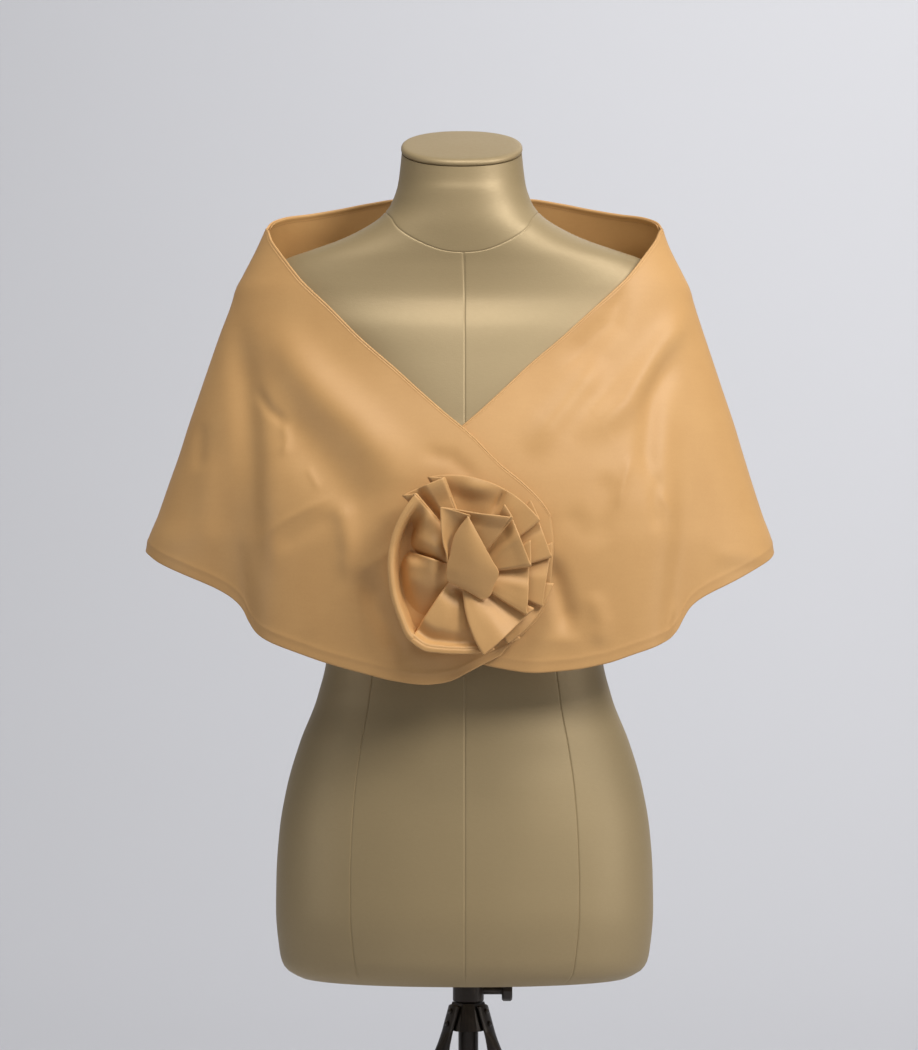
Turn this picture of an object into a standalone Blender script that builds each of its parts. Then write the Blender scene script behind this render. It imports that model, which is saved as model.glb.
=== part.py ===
"""A stiff satin shawl with a pleated rosette, worn by a limbless dress form on a tripod stand.

Sizes are in millimetres until a mesh is made, and meshes are in metres.
Heights in the tables are above the underside of the dress form. A turn is an
angle about the upright axis: 0 is the front, 90 the viewer's right, 180 the back.
"""
import math
from collections import namedtuple

import bmesh
import bpy
import numpy as np

MM = 0.001
SEAM_GAP = 0.3

# Stand
STAND_HEIGHT = 660
STAND_SIDEWAYS = 3.4
POLE_RADIUS = 9
POLE_REACH_DOWN = 330
BORE_RADIUS = 9.5
COLLAR_RADIUS = 14
COLLAR_HEIGHT = 24
SOCKET_HEIGHT = 24
SOCKET_FACE_DISTANCE = 11.2
SOCKET_CORNER_EXTRA = 3.5
LEG_RADIUS = 7
LEG_FLAT_HALF_THICKNESS = 2.2
LEG_FLAT_HALF_WIDTH = 9
LEG_SPLAY = math.radians(17.5)
LEG_TURNS = {"leg_right": -60, "leg_left": 60, "leg_back": 180}
FOOT_RADIUS = 10
FOOT_LENGTH = 38
RIVET_RADIUS = 2.6
RIVET_HEIGHTS = (-32, -43)
SCREW_HEIGHT = -13.5
SCREW_RADIUS = 4
SCREW_REACH = 30
KNOB_RADIUS = 10
KNOB_LENGTH = 9.5

# Dress form
FORM_SEGMENTS = 36
FORM_ROUNDNESS = 2.2
NECK_TILT = math.tan(math.radians(20))
NECK_TILT_START = 706
NECK_TILT_FULL = 736
NECK_SIDEWAYS = -2.5
NECK_TOP = 741
NECK_CAP_THICKNESS = 6

FormRing = namedtuple("FormRing", "height half_width front back")
FORM_RINGS = [
    FormRing(0, 148, 88, 94),
    FormRing(5, 158, 97, 104),
    FormRing(13, 164, 104, 111),
    FormRing(24, 166.5, 108, 115),
    FormRing(60, 169.6, 112, 118),
    FormRing(90, 169.2, 110, 120),
    FormRing(130, 166.5, 106, 115),
    FormRing(170, 159.7, 100, 104),
    FormRing(210, 148, 93, 90),
    FormRing(250, 132.5, 88, 77),
    FormRing(290, 124, 86, 70),
    FormRing(330, 126, 90, 70),
    FormRing(380, 135, 102, 76),
    FormRing(430, 145, 113, 84),
    FormRing(465, 150, 113, 90),
    FormRing(500, 152, 103, 96),
    FormRing(550, 160, 87, 94),
    FormRing(580, 178, 76, 86),
    FormRing(597, 196, 66, 76),
    FormRing(606, 200.5, 62, 72),
    FormRing(614, 198, 60, 70),
    FormRing(628, 186, 58, 70),
    FormRing(642, 165, 57, 70),
    FormRing(653, 134, 57, 70),
    FormRing(661, 111, 57, 68),
    FormRing(672, 88, 57, 65),
    FormRing(682, 73, 56, 62),
    FormRing(693, 64, 55, 58),
    FormRing(711, 57.6, 54, 54),
    FormRing(726, 55.5, 52.5, 52.5),
    FormRing(NECK_TOP, 54, 51, 51),
]

# Shawl: the outer face of the cloth, a ring for each height
CLOTH = 1.5
FACING_CLOTH = 1.0
FACING_WIDTH = 45
SHAWL_SQUARENESS = 1.8

ShawlRing = namedtuple("ShawlRing", "height half_width lean front back")
SHAWL_RINGS = [
    ShawlRing(712, 165, 0, 56, 91),
    ShawlRing(678, 176.5, 0, 62, 95),
    ShawlRing(657, 184.5, -1, 68, 98),
    ShawlRing(630, 198, -1.2, 76, 100),
    ShawlRing(617, 204.5, -1.5, 80, 101),
    ShawlRing(603, 208.5, -1.6, 84, 102),
    ShawlRing(576, 218, -2.3, 89, 104),
    ShawlRing(549, 227.5, -2.5, 95, 106),
    ShawlRing(522, 237, -2.6, 104, 108),
    ShawlRing(495, 246.5, -2.7, 114, 110),
    ShawlRing(468, 255, -2.9, 123, 112),
    ShawlRing(441, 264, -3.5, 130, 114),
    ShawlRing(414, 273, -3.8, 134, 116),
    ShawlRing(387, 282.7, -4.3, 135, 118),
    ShawlRing(340, 288, -4.3, 134, 121),
    ShawlRing(255, 291, -4.3, 130, 125),
]

# Soft upright flutes, deepest at the hem, on both sides of the body
Flute = namedtuple("Flute", "hem_turn top_turn front_spread back_spread depth fade_height")
FLUTES = [
    Flute(69, 77, 7, 11, 0.095, 590),
    Flute(122, 118, 9, 9, 0.05, 560),
    Flute(155, 155, 9, 9, 0.045, 540),
]
FLUTE_FOOT = 320

SIDE_SEAM_TURN = 91
SEAM_HALF_GAP_TURN = 0.05

NeckPoint = namedtuple("NeckPoint", "turn height")
FRONT_NECKLINE = [
    NeckPoint(-91, 672),
    NeckPoint(-87.5, 669.5),
    NeckPoint(-83.5, 659),
    NeckPoint(-79, 646.6),
    NeckPoint(-71, 623.3),
    NeckPoint(-63.7, 605),
    NeckPoint(-47.8, 569),
    NeckPoint(-29, 537.5),
    NeckPoint(-9.6, 506),
    NeckPoint(4, 483),
    NeckPoint(14.9, 457.5),
    NeckPoint(22, 443),
    NeckPoint(28, 427),
    NeckPoint(31.2, 413.5),
]
BACK_NECKLINE = [
    NeckPoint(91, 672),
    NeckPoint(93, 677),
    NeckPoint(96, 680.3),
    NeckPoint(101, 684.3),
    NeckPoint(108, 687.7),
    NeckPoint(118, 693.3),
    NeckPoint(130, 700),
    NeckPoint(144, 705),
    NeckPoint(180, 707.5),
]

HemPoint = namedtuple("HemPoint", "turn height")
UPPER_HEM = [
    HemPoint(-91, 382.5),
    HemPoint(-87.9, 380),
    HemPoint(-83.2, 371.5),
    HemPoint(-77.5, 359.5),
    HemPoint(-72.6, 347.7),
    HemPoint(-69.9, 339),
    HemPoint(-68.2, 331),
    HemPoint(-66.7, 321.5),
    HemPoint(-64.5, 314),
    HemPoint(-59.3, 304.7),
    HemPoint(-53.5, 296.7),
    HemPoint(-44.4, 286),
    HemPoint(-34, 277.5),
    HemPoint(-24, 271),
    HemPoint(-13, 267.7),
    HemPoint(-5, 270),
    HemPoint(3.8, 279.5),
    HemPoint(9, 286),
    HemPoint(14.5, 292.5),
]
UNDER_HEM = [
    HemPoint(-91, 382.5),
    HemPoint(-89, 379.5),
    HemPoint(-83.2, 368.8),
    HemPoint(-77.5, 354),
    HemPoint(-72.7, 340.2),
    HemPoint(-71, 332.8),
    HemPoint(-69.7, 323),
    HemPoint(-68.4, 312.7),
    HemPoint(-66.3, 305.8),
    HemPoint(-61.9, 301),
    HemPoint(-56.4, 294.8),
    HemPoint(-48.1, 285),
    HemPoint(-38.8, 279.7),
    HemPoint(-27.8, 277.7),
    HemPoint(-15.3, 281.7),
    HemPoint(-9, 285),
    HemPoint(0, 289),
    HemPoint(20, 296),
]
BACK_HEM = [
    HemPoint(91, 382.5),
    HemPoint(100, 374),
    HemPoint(112, 362),
    HemPoint(128, 348),
    HemPoint(150, 336),
    HemPoint(180, 330),
]

# The two fronts cross: the wearer's right front lies over the left one
LAYER_STEP = 2.5
LAYER_FULL_TURN = 32
LAYER_END_TURN = 68
OVERLAP_DEPTH = 130
EndPoint = namedtuple("EndPoint", "share sideways")
UPPER_END = [
    EndPoint(0, 78.4),
    EndPoint(0.2, 81),
    EndPoint(0.4, 79.4),
    EndPoint(0.55, 77.3),
    EndPoint(0.64, 74.3),
    EndPoint(0.72, 68.4),
    EndPoint(0.8, 60),
    EndPoint(0.86, 51),
    EndPoint(0.92, 42.3),
    EndPoint(1, 33.5),
]
UNDER_END_TOP = 18
UNDER_END_FOOT = 34
COLUMN_CROWDING = 0.35
ROW_CROWDING = 0.6
UPPER_COLUMNS = 42
UNDER_COLUMNS = 36
BACK_COLUMNS = 38
BACK_BAND_ROWS = 3
PANEL_ROWS = 12

# Rosette: one strip, folded double and pleated round a centre; reaches are from that centre
ROSETTE_SIDEWAYS = 4.9
ROSETTE_HEIGHT = 368
CLOTH_AT_ROOT = 1.0
CLOTH_AT_RIM = 1.8
RIM_BEAD = 0.4
LEVEL_AT_ROOT = 1.8
LEVEL_AT_RIM = 3.0
TUCK_AT_ROOT = 2.9
FOLD_MARGIN = 0.6
SHORTEST_CLIMB = 0.02
FOLD_STEPS = 4
PANEL_STEPS = 7
BOWL_STEPS = 28
RIBBON_ROWS = 5

# turn: clockwise from the top. corner: where a panel's outer fold reaches the rim.
# tuck: the fold hidden below it, which pokes out past the rim. lift: height of the corner
# above the panel below. dip: how far the next panel's rim runs inside a round one.
Pleat = namedtuple("Pleat", "turn reach tuck_turn tuck_reach lift dip")
INNER_START = Pleat(-26, 57.5, -26, 57.5, 24, 9.6)
INNER_PLEATS = [
    Pleat(40, 56, 28.4, 61.4, 21.5, 7),
    Pleat(88, 51.5, 65.4, 56, 20, 9),
    Pleat(130, 61.7, 122.9, 64.3, 20, 6),
    Pleat(171.7, 74.5, 163.9, 72.2, 26, 0),
]
OUTER_START = Pleat(164, 72, 164, 72, 23.6, 0)
OUTER_PLEATS = [
    Pleat(324, 78.6, 317, 85, 21, 2),
    Pleat(344, 80.4, 335, 86, 17, 4.5),
    Pleat(415.4, 72, 402, 77.3, 13.5, 4.5),
    Pleat(442, 70, 433, 73.3, 10.5, 6),
    Pleat(478.3, 69.8, 461, 72.4, 9.5, 2),
    Pleat(514, 71.7, 505, 74, 9, 0),
]
INNER_ROOT = 12
INNER_ROOT_LIFT = 9.9
OUTER_ROOT = 17
OUTER_ROOT_LIFT = 4.7

# Gathers in the tall left side of the outer turn: each climbs to a fold and drops behind it
Gather = namedtuple("Gather", "root_turn rim_turn rise")
GATHERS = [Gather(243, 219, 10), Gather(277, 284, 9)]
GATHER_CLIMB_TURN = 34
GATHER_DROP_TURN = 6
GATHER_FADE = 1.2
# How far the bowl's rim reaches from the rosette's centre on its way round
BowlRim = namedtuple("BowlRim", "turn reach")
BOWL_RIM = [
    BowlRim(164, 72),
    BowlRim(186.6, 73.6),
    BowlRim(200, 76.9),
    BowlRim(211.5, 81.0),
    BowlRim(220, 80.8),
    BowlRim(234.5, 75.3),
    BowlRim(249, 72.1),
    BowlRim(265.4, 70.4),
    BowlRim(279, 70.9),
    BowlRim(293.5, 72.5),
    BowlRim(307.4, 74.6),
    BowlRim(324, 78.6),
]
BOWL_CURVE = 2.4
BOWL_FADE_IN = 0.12
BOWL_FADE_OUT = 0.2

# Centre of the rosette: the strip's inner end, folded over itself. Its outline runs
# clockwise from the upper left corner; a valley parts the broad face from the left flank.
BudPoint = namedtuple("BudPoint", "sideways up lift")
BUD_OUTLINE = [
    BudPoint(-25.4, 51.6, 27.4),
    BudPoint(-2.4, 44.1, 28),
    BudPoint(11, 20, 23),
    BudPoint(23.7, -4.3, 18),
    BudPoint(15.7, -24.4, 16.9),
    BudPoint(9, -26.5, 16.9),
    BudPoint(-6, -21, 15.4),
    BudPoint(-19, -10, 13.4),
    BudPoint(-20.5, 0, 13.4),
    BudPoint(-20, 10, 16.4),
    BudPoint(-22.6, 22, 20),
    BudPoint(-24.8, 38, 24),
]
BUD_TOP = 28
BUD_SWELL = 2.2
BUD_VALLEY_TOP = (-5, 41)
BUD_VALLEY_FOOT = (-17, 10)
BUD_VALLEY_WIDTH = 8
BUD_VALLEY_DEPTH = 5
BUD_RINGS = 6
BUD_SEGMENTS = 36

Finish = namedtuple("Finish", "colour roughness metallic")
FINISHES = {
    "satin": Finish((0.56, 0.33, 0.15), 0.42, 0.0),
    "form_cover": Finish((0.36, 0.28, 0.15), 0.45, 0.0),
    "dark_metal": Finish((0.028, 0.021, 0.015), 0.35, 0.8),
    "foot_rubber": Finish((0.02, 0.02, 0.02), 0.8, 0.0),
}
SHARP_EDGE_ANGLE = math.radians(50)


def clear_scene():
    for found in list(bpy.data.objects):
        bpy.data.objects.remove(found, do_unlink=True)


def material_named(name):
    material = bpy.data.materials.get(name)
    if material is None:
        material = bpy.data.materials.new(name)
        material.use_nodes = True
        shader = material.node_tree.nodes["Principled BSDF"]
        finish = FINISHES[name]
        shader.inputs["Base Color"].default_value = (*finish.colour, 1)
        shader.inputs["Roughness"].default_value = finish.roughness
        shader.inputs["Metallic"].default_value = finish.metallic
    return material


def add_object(name, points, faces, material):
    """Make a named object from points in millimetres above the form's underside."""
    mesh = bpy.data.meshes.new(name)
    lifted = np.asarray(points, float) + np.array([0, 0, STAND_HEIGHT])
    mesh.from_pydata([tuple(point) for point in lifted * MM], [], faces)
    work = bmesh.new()
    work.from_mesh(mesh)
    bmesh.ops.recalc_face_normals(work, faces=work.faces)
    work.to_mesh(mesh)
    work.free()
    mesh.shade_smooth()
    mesh.set_sharp_from_angle(angle=SHARP_EDGE_ANGLE)
    mesh.materials.append(material_named(material))
    made = bpy.data.objects.new(name, mesh)
    bpy.context.collection.objects.link(made)
    return made


def smooth_step(share):
    share = np.clip(share, 0, 1)
    return share * share * (3 - 2 * share)


def smooth_table(places, values):
    """Give a function that runs smoothly through the values and never overshoots them."""
    order = np.argsort(places)
    x = np.asarray(places, float)[order]
    y = np.asarray(values, float)[order]
    slopes = np.diff(y) / np.diff(x)
    before, after = slopes[:-1], slopes[1:]
    together = np.where(before * after > 0, before + after, 1)
    bends = np.where(before * after > 0, 2 * before * after / together, 0)
    tangents = np.concatenate([slopes[:1], bends, slopes[-1:]])

    def value_at(place):
        place = np.clip(place, x[0], x[-1])
        left = np.clip(np.searchsorted(x, place, side="right") - 1, 0, len(x) - 2)
        width = x[left + 1] - x[left]
        t = (place - x[left]) / width
        rise = (2 * t**3 - 3 * t**2 + 1) * y[left] + (3 * t**2 - 2 * t**3) * y[left + 1]
        lean = (t**3 - 2 * t**2 + t) * tangents[left] + (t**3 - t**2) * tangents[left + 1]
        return rise + width * lean

    return value_at


def table_columns(rows):
    """Give one smooth function of the first column for each other column of a table."""
    columns = list(zip(*rows))
    return [smooth_table(columns[0], column) for column in columns[1:]]


# Walls and lofts


def grid_normals(grid):
    along = np.gradient(grid, axis=0)
    across = np.gradient(grid, axis=1)
    normals = np.cross(along, across)
    return normals / np.linalg.norm(normals, axis=2, keepdims=True)


def wall_mesh(front, back, bead=None):
    """Close two matching grids into one wall; a bead is a row of points beyond the last row.

    Both faces are cut along the same diagonals, so a twisted wall keeps its thickness.
    """
    columns, rows = front.shape[:2]
    count = columns * rows
    points = np.concatenate([front.reshape(-1, 3), back.reshape(-1, 3)])
    faces = []
    for i in range(columns - 1):
        for j in range(rows - 1):
            a, b, c, d = i * rows + j, (i + 1) * rows + j, (i + 1) * rows + j + 1, i * rows + j + 1
            for half in ((a, b, c), (a, c, d)):
                faces.append(half)
                faces.append([count + index for index in reversed(half)])
    first = list(range(columns))
    for i in first[:-1]:
        a, b = i * rows, (i + 1) * rows
        faces.append([b, a, count + a, count + b])
    for j in range(rows - 1):
        last = (columns - 1) * rows
        faces.append([j, j + 1, count + j + 1, count + j])
        faces.append([last + j + 1, last + j, count + last + j, count + last + j + 1])
    if bead is None:
        for i in first[:-1]:
            a, b = i * rows + rows - 1, (i + 1) * rows + rows - 1
            faces.append([a, b, count + b, count + a])
        return points, faces
    start = len(points)
    points = np.concatenate([points, bead])
    for i in first[:-1]:
        a, b = i * rows + rows - 1, (i + 1) * rows + rows - 1
        faces.append([a, b, start + i + 1, start + i])
        faces.append([start + i, start + i + 1, count + b, count + a])
    for i in (0, columns - 1):
        edge = i * rows + rows - 1
        faces.append([edge, start + i, count + edge])
    return points, faces


def cloth_wall(name, outer, normals, thickness, material):
    """Make cloth whose outer face is the given grid and whose wall lies inside it."""
    points, faces = wall_mesh(outer, outer - normals * thickness)
    return add_object(name, points, faces, material)


def ring_faces(start, other, segments):
    faces = []
    for i in range(segments):
        after = (i + 1) % segments
        faces.append([start + i, start + after, other + after, other + i])
    return faces


def loft(name, rings, material):
    """Make a closed solid through rings of points, with flat ends."""
    segments = len(rings[0])
    faces = [list(range(segments)), list(range((len(rings) - 1) * segments, len(rings) * segments))]
    for step in range(len(rings) - 1):
        faces += ring_faces(step * segments, (step + 1) * segments, segments)
    return add_object(name, np.concatenate(rings), faces, material)


def bored_loft(name, outer_rings, inner_rings, material):
    """Make a solid with a hole right through it: outer rings top to bottom, and inner ones."""
    segments = len(outer_rings[0])
    rings = list(outer_rings) + list(reversed(inner_rings))
    faces = []
    for step in range(len(rings)):
        faces += ring_faces(step * segments, ((step + 1) % len(rings)) * segments, segments)
    return add_object(name, np.concatenate(rings), faces, material)


def circle(radius, height, segments, x=0.0, y=0.0):
    angles = np.arange(segments) * 2 * np.pi / segments
    ups = np.full(segments, height)
    return np.stack([x + radius * np.cos(angles), y + radius * np.sin(angles), ups], axis=1)


# Dress form


def form_ring(height, half_width, front, back):
    angles = np.arange(FORM_SEGMENTS) * 2 * np.pi / FORM_SEGMENTS
    side, depth = np.sin(angles), -np.cos(angles)
    power = 2 / FORM_ROUNDNESS
    x = half_width * np.sign(side) * np.abs(side) ** power
    y = np.where(depth < 0, front, back) * np.sign(depth) * np.abs(depth) ** power
    tilt = NECK_TILT * smooth_step((height - NECK_TILT_START) / (NECK_TILT_FULL - NECK_TILT_START))
    x = x + NECK_SIDEWAYS * smooth_step((height - 600) / 100)
    return np.stack([x, y, height + y * tilt], axis=1)


def make_form():
    rings = [form_ring(*row) for row in FORM_RINGS]
    loft("form_torso", rings, "form_cover")
    top = FORM_RINGS[-1]
    foot = NECK_TOP + SEAM_GAP
    profile = [(0, -1.5), (1.2, 0.3), (2.6, 0.6), (4.4, -0.2), (NECK_CAP_THICKNESS, -2.5)]
    cap = [
        form_ring(foot + rise, top.half_width + grow, top.front + grow, top.back + grow)
        for rise, grow in profile
    ]
    loft("neck_cap", cap, "form_cover")


# Stand


def add_hole(target, cutter):
    cutter.hide_render = True
    cutter.display_type = "WIRE"
    cut = target.modifiers.new("hole", "BOOLEAN")
    cut.operation = "DIFFERENCE"
    cut.object = cutter


def cross_rod(name, x_radius_rows, height, segments, material):
    """Make a rod along X through the stand's axis from rows of place and radius."""
    rings = []
    for x, radius in x_radius_rows:
        ring = circle(radius, 0, segments)
        sideways = np.full(segments, STAND_SIDEWAYS + x)
        rings.append(np.stack([sideways, ring[:, 0], height + ring[:, 1]], axis=1))
    return loft(name, rings, material)


def make_collar():
    segments = 32
    rows = [
        (COLLAR_RADIUS - 1, -SEAM_GAP),
        (COLLAR_RADIUS, -SEAM_GAP - 1),
        (COLLAR_RADIUS, -COLLAR_HEIGHT + 1.5),
        (COLLAR_RADIUS - 1.5, -COLLAR_HEIGHT),
    ]
    outer = [circle(radius, height, segments, STAND_SIDEWAYS) for radius, height in rows]
    inner = [circle(BORE_RADIUS, height, segments, STAND_SIDEWAYS) for _, height in rows]
    collar = bored_loft("stand_collar", outer, inner, "dark_metal")
    hole = SCREW_RADIUS + SEAM_GAP
    cutter = cross_rod("screw_hole", [(5, hole), (20, hole)], SCREW_HEIGHT, 16, "dark_metal")
    add_hole(collar, cutter)


def make_knob():
    tip = POLE_RADIUS + SEAM_GAP
    head = SCREW_REACH
    rows = [
        (tip, SCREW_RADIUS - 0.5),
        (tip + 1, SCREW_RADIUS),
        (head, SCREW_RADIUS),
        (head + 0.1, KNOB_RADIUS - 1.5),
        (head + 1.5, KNOB_RADIUS),
        (head + KNOB_LENGTH - 1.5, KNOB_RADIUS),
        (head + KNOB_LENGTH, KNOB_RADIUS - 1.5),
    ]
    cross_rod("clamp_knob", rows, SCREW_HEIGHT, 16, "dark_metal")


def make_socket():
    """Make the bored block with three slanted faces that the legs are riveted to."""
    segments = 36
    turns = np.arange(segments) * 360 / segments
    away = np.stack([(turns - face + 180) % 360 - 180 for face in LEG_TURNS.values()])
    nearest = np.radians(np.min(np.abs(away), axis=0))
    outer, inner = [], []
    top = -COLLAR_HEIGHT - SEAM_GAP
    for height in (top, top - SOCKET_HEIGHT):
        face = SOCKET_FACE_DISTANCE + (top - height) * math.tan(LEG_SPLAY)
        reach = np.minimum(face / np.cos(nearest), face + SOCKET_CORNER_EXTRA)
        angles = np.radians(turns)
        ups = np.full(segments, height)
        side, depth = np.sin(angles), -np.cos(angles)
        outer.append(np.stack([STAND_SIDEWAYS + reach * side, reach * depth, ups], axis=1))
        bore = BORE_RADIUS
        inner.append(np.stack([STAND_SIDEWAYS + bore * side, bore * depth, ups], axis=1))
    bored_loft("leg_socket", outer, inner, "dark_metal")


def leg_frame(turn):
    """Give a leg's outward, sideways and downward directions, and where its middle line starts."""
    angle = math.radians(turn)
    out = np.array([math.sin(angle), -math.cos(angle), 0])
    sideways = np.array([math.cos(angle), math.sin(angle), 0])
    down = out * math.sin(LEG_SPLAY) - np.array([0, 0, math.cos(LEG_SPLAY)])
    face_out = np.cross(sideways, down)
    face_out = face_out * np.sign(np.dot(face_out, out))
    top = -COLLAR_HEIGHT - SEAM_GAP
    start = np.array([STAND_SIDEWAYS, 0, top]) + out * SOCKET_FACE_DISTANCE
    start = start + face_out * (SEAM_GAP + LEG_FLAT_HALF_THICKNESS)
    return face_out, sideways, down, start


def leg_ring(turn, distance, half_thickness, half_width, segments=16):
    face_out, sideways, down, start = leg_frame(turn)
    angles = np.arange(segments) * 2 * np.pi / segments
    middle = start + down * distance
    across = np.outer(np.sin(angles) * half_width, sideways)
    return middle + across + np.outer(np.cos(angles) * half_thickness, face_out)


def to_floor(ring, down):
    """Slide a ring's points along the leg until they lie on the floor."""
    slide = (-STAND_HEIGHT - ring[:, 2]) / down[2]
    return ring + slide[:, None] * down


def make_leg(name, turn):
    _, _, down, start = leg_frame(turn)
    reach = (start[2] + STAND_HEIGHT) / -down[2]
    shoulder = SOCKET_HEIGHT / math.cos(LEG_SPLAY) + 2
    foot_top = reach - FOOT_LENGTH
    rows = [
        (2.5, LEG_FLAT_HALF_THICKNESS - 0.4, LEG_FLAT_HALF_WIDTH - 3),
        (4, LEG_FLAT_HALF_THICKNESS, LEG_FLAT_HALF_WIDTH),
        (shoulder, LEG_FLAT_HALF_THICKNESS, LEG_FLAT_HALF_WIDTH),
        (shoulder + 11, 0.5 * (LEG_FLAT_HALF_THICKNESS + LEG_RADIUS), LEG_RADIUS + 0.8),
        (shoulder + 22, LEG_RADIUS, LEG_RADIUS),
        (foot_top - SEAM_GAP, LEG_RADIUS, LEG_RADIUS),
    ]
    loft(name, [leg_ring(turn, *row) for row in rows], "dark_metal")
    foot = [
        leg_ring(turn, foot_top, FOOT_RADIUS - 2.5, FOOT_RADIUS - 2.5),
        leg_ring(turn, foot_top + 2.5, FOOT_RADIUS, FOOT_RADIUS),
        to_floor(leg_ring(turn, foot_top + 12, FOOT_RADIUS, FOOT_RADIUS), down),
    ]
    loft(name.replace("leg", "foot"), foot, "foot_rubber")


def make_rivets(name, turn):
    face_out, sideways, down, start = leg_frame(turn)
    across = np.cross(face_out, sideways)
    for number, height in enumerate(RIVET_HEIGHTS, start=1):
        distance = (height - start[2]) / down[2]
        seat = start + down * distance + face_out * (LEG_FLAT_HALF_THICKNESS + SEAM_GAP)
        angles = np.arange(10) * 2 * np.pi / 10
        rings = []
        for rise, radius in ((0, RIVET_RADIUS), (0.7, RIVET_RADIUS), (1.5, RIVET_RADIUS * 0.55)):
            ring = seat + face_out * rise
            ring = ring + np.outer(np.cos(angles) * radius, sideways)
            rings.append(ring + np.outer(np.sin(angles) * radius, across))
        loft(f"{name}_rivet_{number}", rings, "dark_metal")


def make_stand():
    make_collar()
    make_knob()
    make_socket()
    pole = [circle(POLE_RADIUS, height, 24, STAND_SIDEWAYS) for height in (-SEAM_GAP, -POLE_REACH_DOWN)]
    loft("stand_pole", pole, "dark_metal")
    for name, turn in LEG_TURNS.items():
        make_leg(name, turn)
        make_rivets(name, turn)


# Shawl

RING_WIDTH, RING_LEAN, RING_FRONT, RING_BACK = table_columns(SHAWL_RINGS)


def flute_share(turn, height):
    """Give how far the flutes draw the cloth in, as a share of its distance from the axis."""
    drawn = 0
    for flute in FLUTES:
        share = smooth_step((flute.fade_height - height) / (flute.fade_height - FLUTE_FOOT))
        middle = flute.top_turn + (flute.hem_turn - flute.top_turn) * share
        beyond = np.abs(turn) - middle
        spread = np.where(beyond < 0, flute.front_spread, flute.back_spread)
        drawn = drawn + flute.depth * share * np.exp(-((beyond / spread) ** 2))
    return drawn


def shawl_point(turn, height, out=0.0):
    """Give a point on the outer face of the cloth, moved out from the axis by a distance."""
    turn = (np.asarray(turn, float) + 180) % 360 - 180
    height = np.asarray(height, float)
    angle = np.radians(turn)
    side, depth = np.sin(angle), np.cos(angle)
    reach = np.where(depth > 0, RING_FRONT(height), RING_BACK(height))
    power = SHAWL_SQUARENESS
    inverse = (np.abs(side) / RING_WIDTH(height)) ** power + (np.abs(depth) / reach) ** power
    radius = inverse ** (-1 / power) * (1 - flute_share(turn, height)) + out
    return np.stack([RING_LEAN(height) + radius * side, -radius * depth, height + 0 * turn], axis=-1)


def layer_out(turn, sign):
    """Give how far a front stands out, or in, where the two fronts lie on each other."""
    away = (np.abs(turn) - LAYER_FULL_TURN) / (LAYER_END_TURN - LAYER_FULL_TURN)
    return sign * LAYER_STEP * (1 - smooth_step(away))


def upper_end_turn(share):
    """Give the turn of the right front's rounded end, from its top (0) to its hem (1)."""
    sideways = smooth_table(*zip(*UPPER_END))
    return np.degrees(np.arctan2(sideways(share), OVERLAP_DEPTH))


def under_end_turn(share):
    """Give the turn of the left front's hidden end, seen from its own side."""
    x = UNDER_END_TOP + (UNDER_END_FOOT - UNDER_END_TOP) * share
    return np.degrees(np.arctan2(x, OVERLAP_DEPTH))


def crowded_rows(rows):
    """Give shares from 0 to 1 that lie closer together near both ends."""
    even = np.linspace(0, 1, rows)
    return even - ROW_CROWDING * np.sin(2 * np.pi * even) / (2 * np.pi)


def front_grid(end_turn, hem_rows, columns, rows):
    """Give the turns and heights of a front, seen from its own side: seam at -91, end past 0."""
    neck = smooth_table(*zip(*FRONT_NECKLINE))
    hem = smooth_table(*zip(*hem_rows))
    step = np.linspace(0, 1, columns)
    step = (step - COLUMN_CROWDING * step * (1 - step))[:, None]
    down = crowded_rows(rows)[None, :]
    seam = -SIDE_SEAM_TURN + SEAM_HALF_GAP_TURN
    turn = seam + (end_turn(down) - seam) * step
    top = neck(seam + (end_turn(np.zeros(1)) - seam) * step)
    foot = hem(seam + (end_turn(np.ones(1)) - seam) * step)
    return turn, top + (foot - top) * down


def back_grid(columns, band_rows, rows):
    """Give the turns and heights of the back: first a band as wide as its facing, then the rest."""
    neck = smooth_table(*zip(*BACK_NECKLINE))
    hem = smooth_table(*zip(*BACK_HEM))
    step = np.linspace(0, 1, columns)
    step = (step - COLUMN_CROWDING * np.sin(2 * np.pi * step) / (2 * np.pi))[:, None]
    seam = SIDE_SEAM_TURN + SEAM_HALF_GAP_TURN
    turn = seam + (360 - 2 * seam) * step + np.zeros((1, rows))
    own = 180 - np.abs(180 - turn[:, :1])
    top, foot = neck(own), hem(own)
    band = top - FACING_WIDTH * np.linspace(0, 1, band_rows)[None, :]
    rest = np.linspace(0, 1, rows - band_rows + 1)[None, 1:]
    below = band[:, -1:] + (foot - band[:, -1:]) * rest
    return turn, np.concatenate([band, below], axis=1)


def layered_cloth(turn, height, layer):
    """Give the outer face of a panel and its normals; layer is 1 or -1 on a front, 0 on the back."""

    def place(turned, raised):
        return shawl_point(turn + turned, height + raised, layer_out(turn + turned, layer))

    along = place(0.4, 0) - place(-0.4, 0)
    up = place(0, 1) - place(0, -1)
    normals = np.cross(along, up)
    return place(0, 0), normals / np.linalg.norm(normals, axis=-1, keepdims=True)


def make_front(name, side, grid, layer):
    turn, height = grid
    cloth_wall(name, *layered_cloth(side * turn, height, layer), CLOTH, "satin")


def make_back():
    """Make the back and, inside its neckline, the facing made from its own points."""
    outer, normals = layered_cloth(*back_grid(BACK_COLUMNS, BACK_BAND_ROWS, PANEL_ROWS), 0)
    cloth_wall("shawl_back", outer, normals, CLOTH, "satin")
    between_seams = slice(1, -1)
    inward = normals[between_seams, :BACK_BAND_ROWS]
    inside = outer[between_seams, :BACK_BAND_ROWS] - inward * (CLOTH + SEAM_GAP)
    cloth_wall("back_facing", inside, inward, FACING_CLOTH, "satin")


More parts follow.
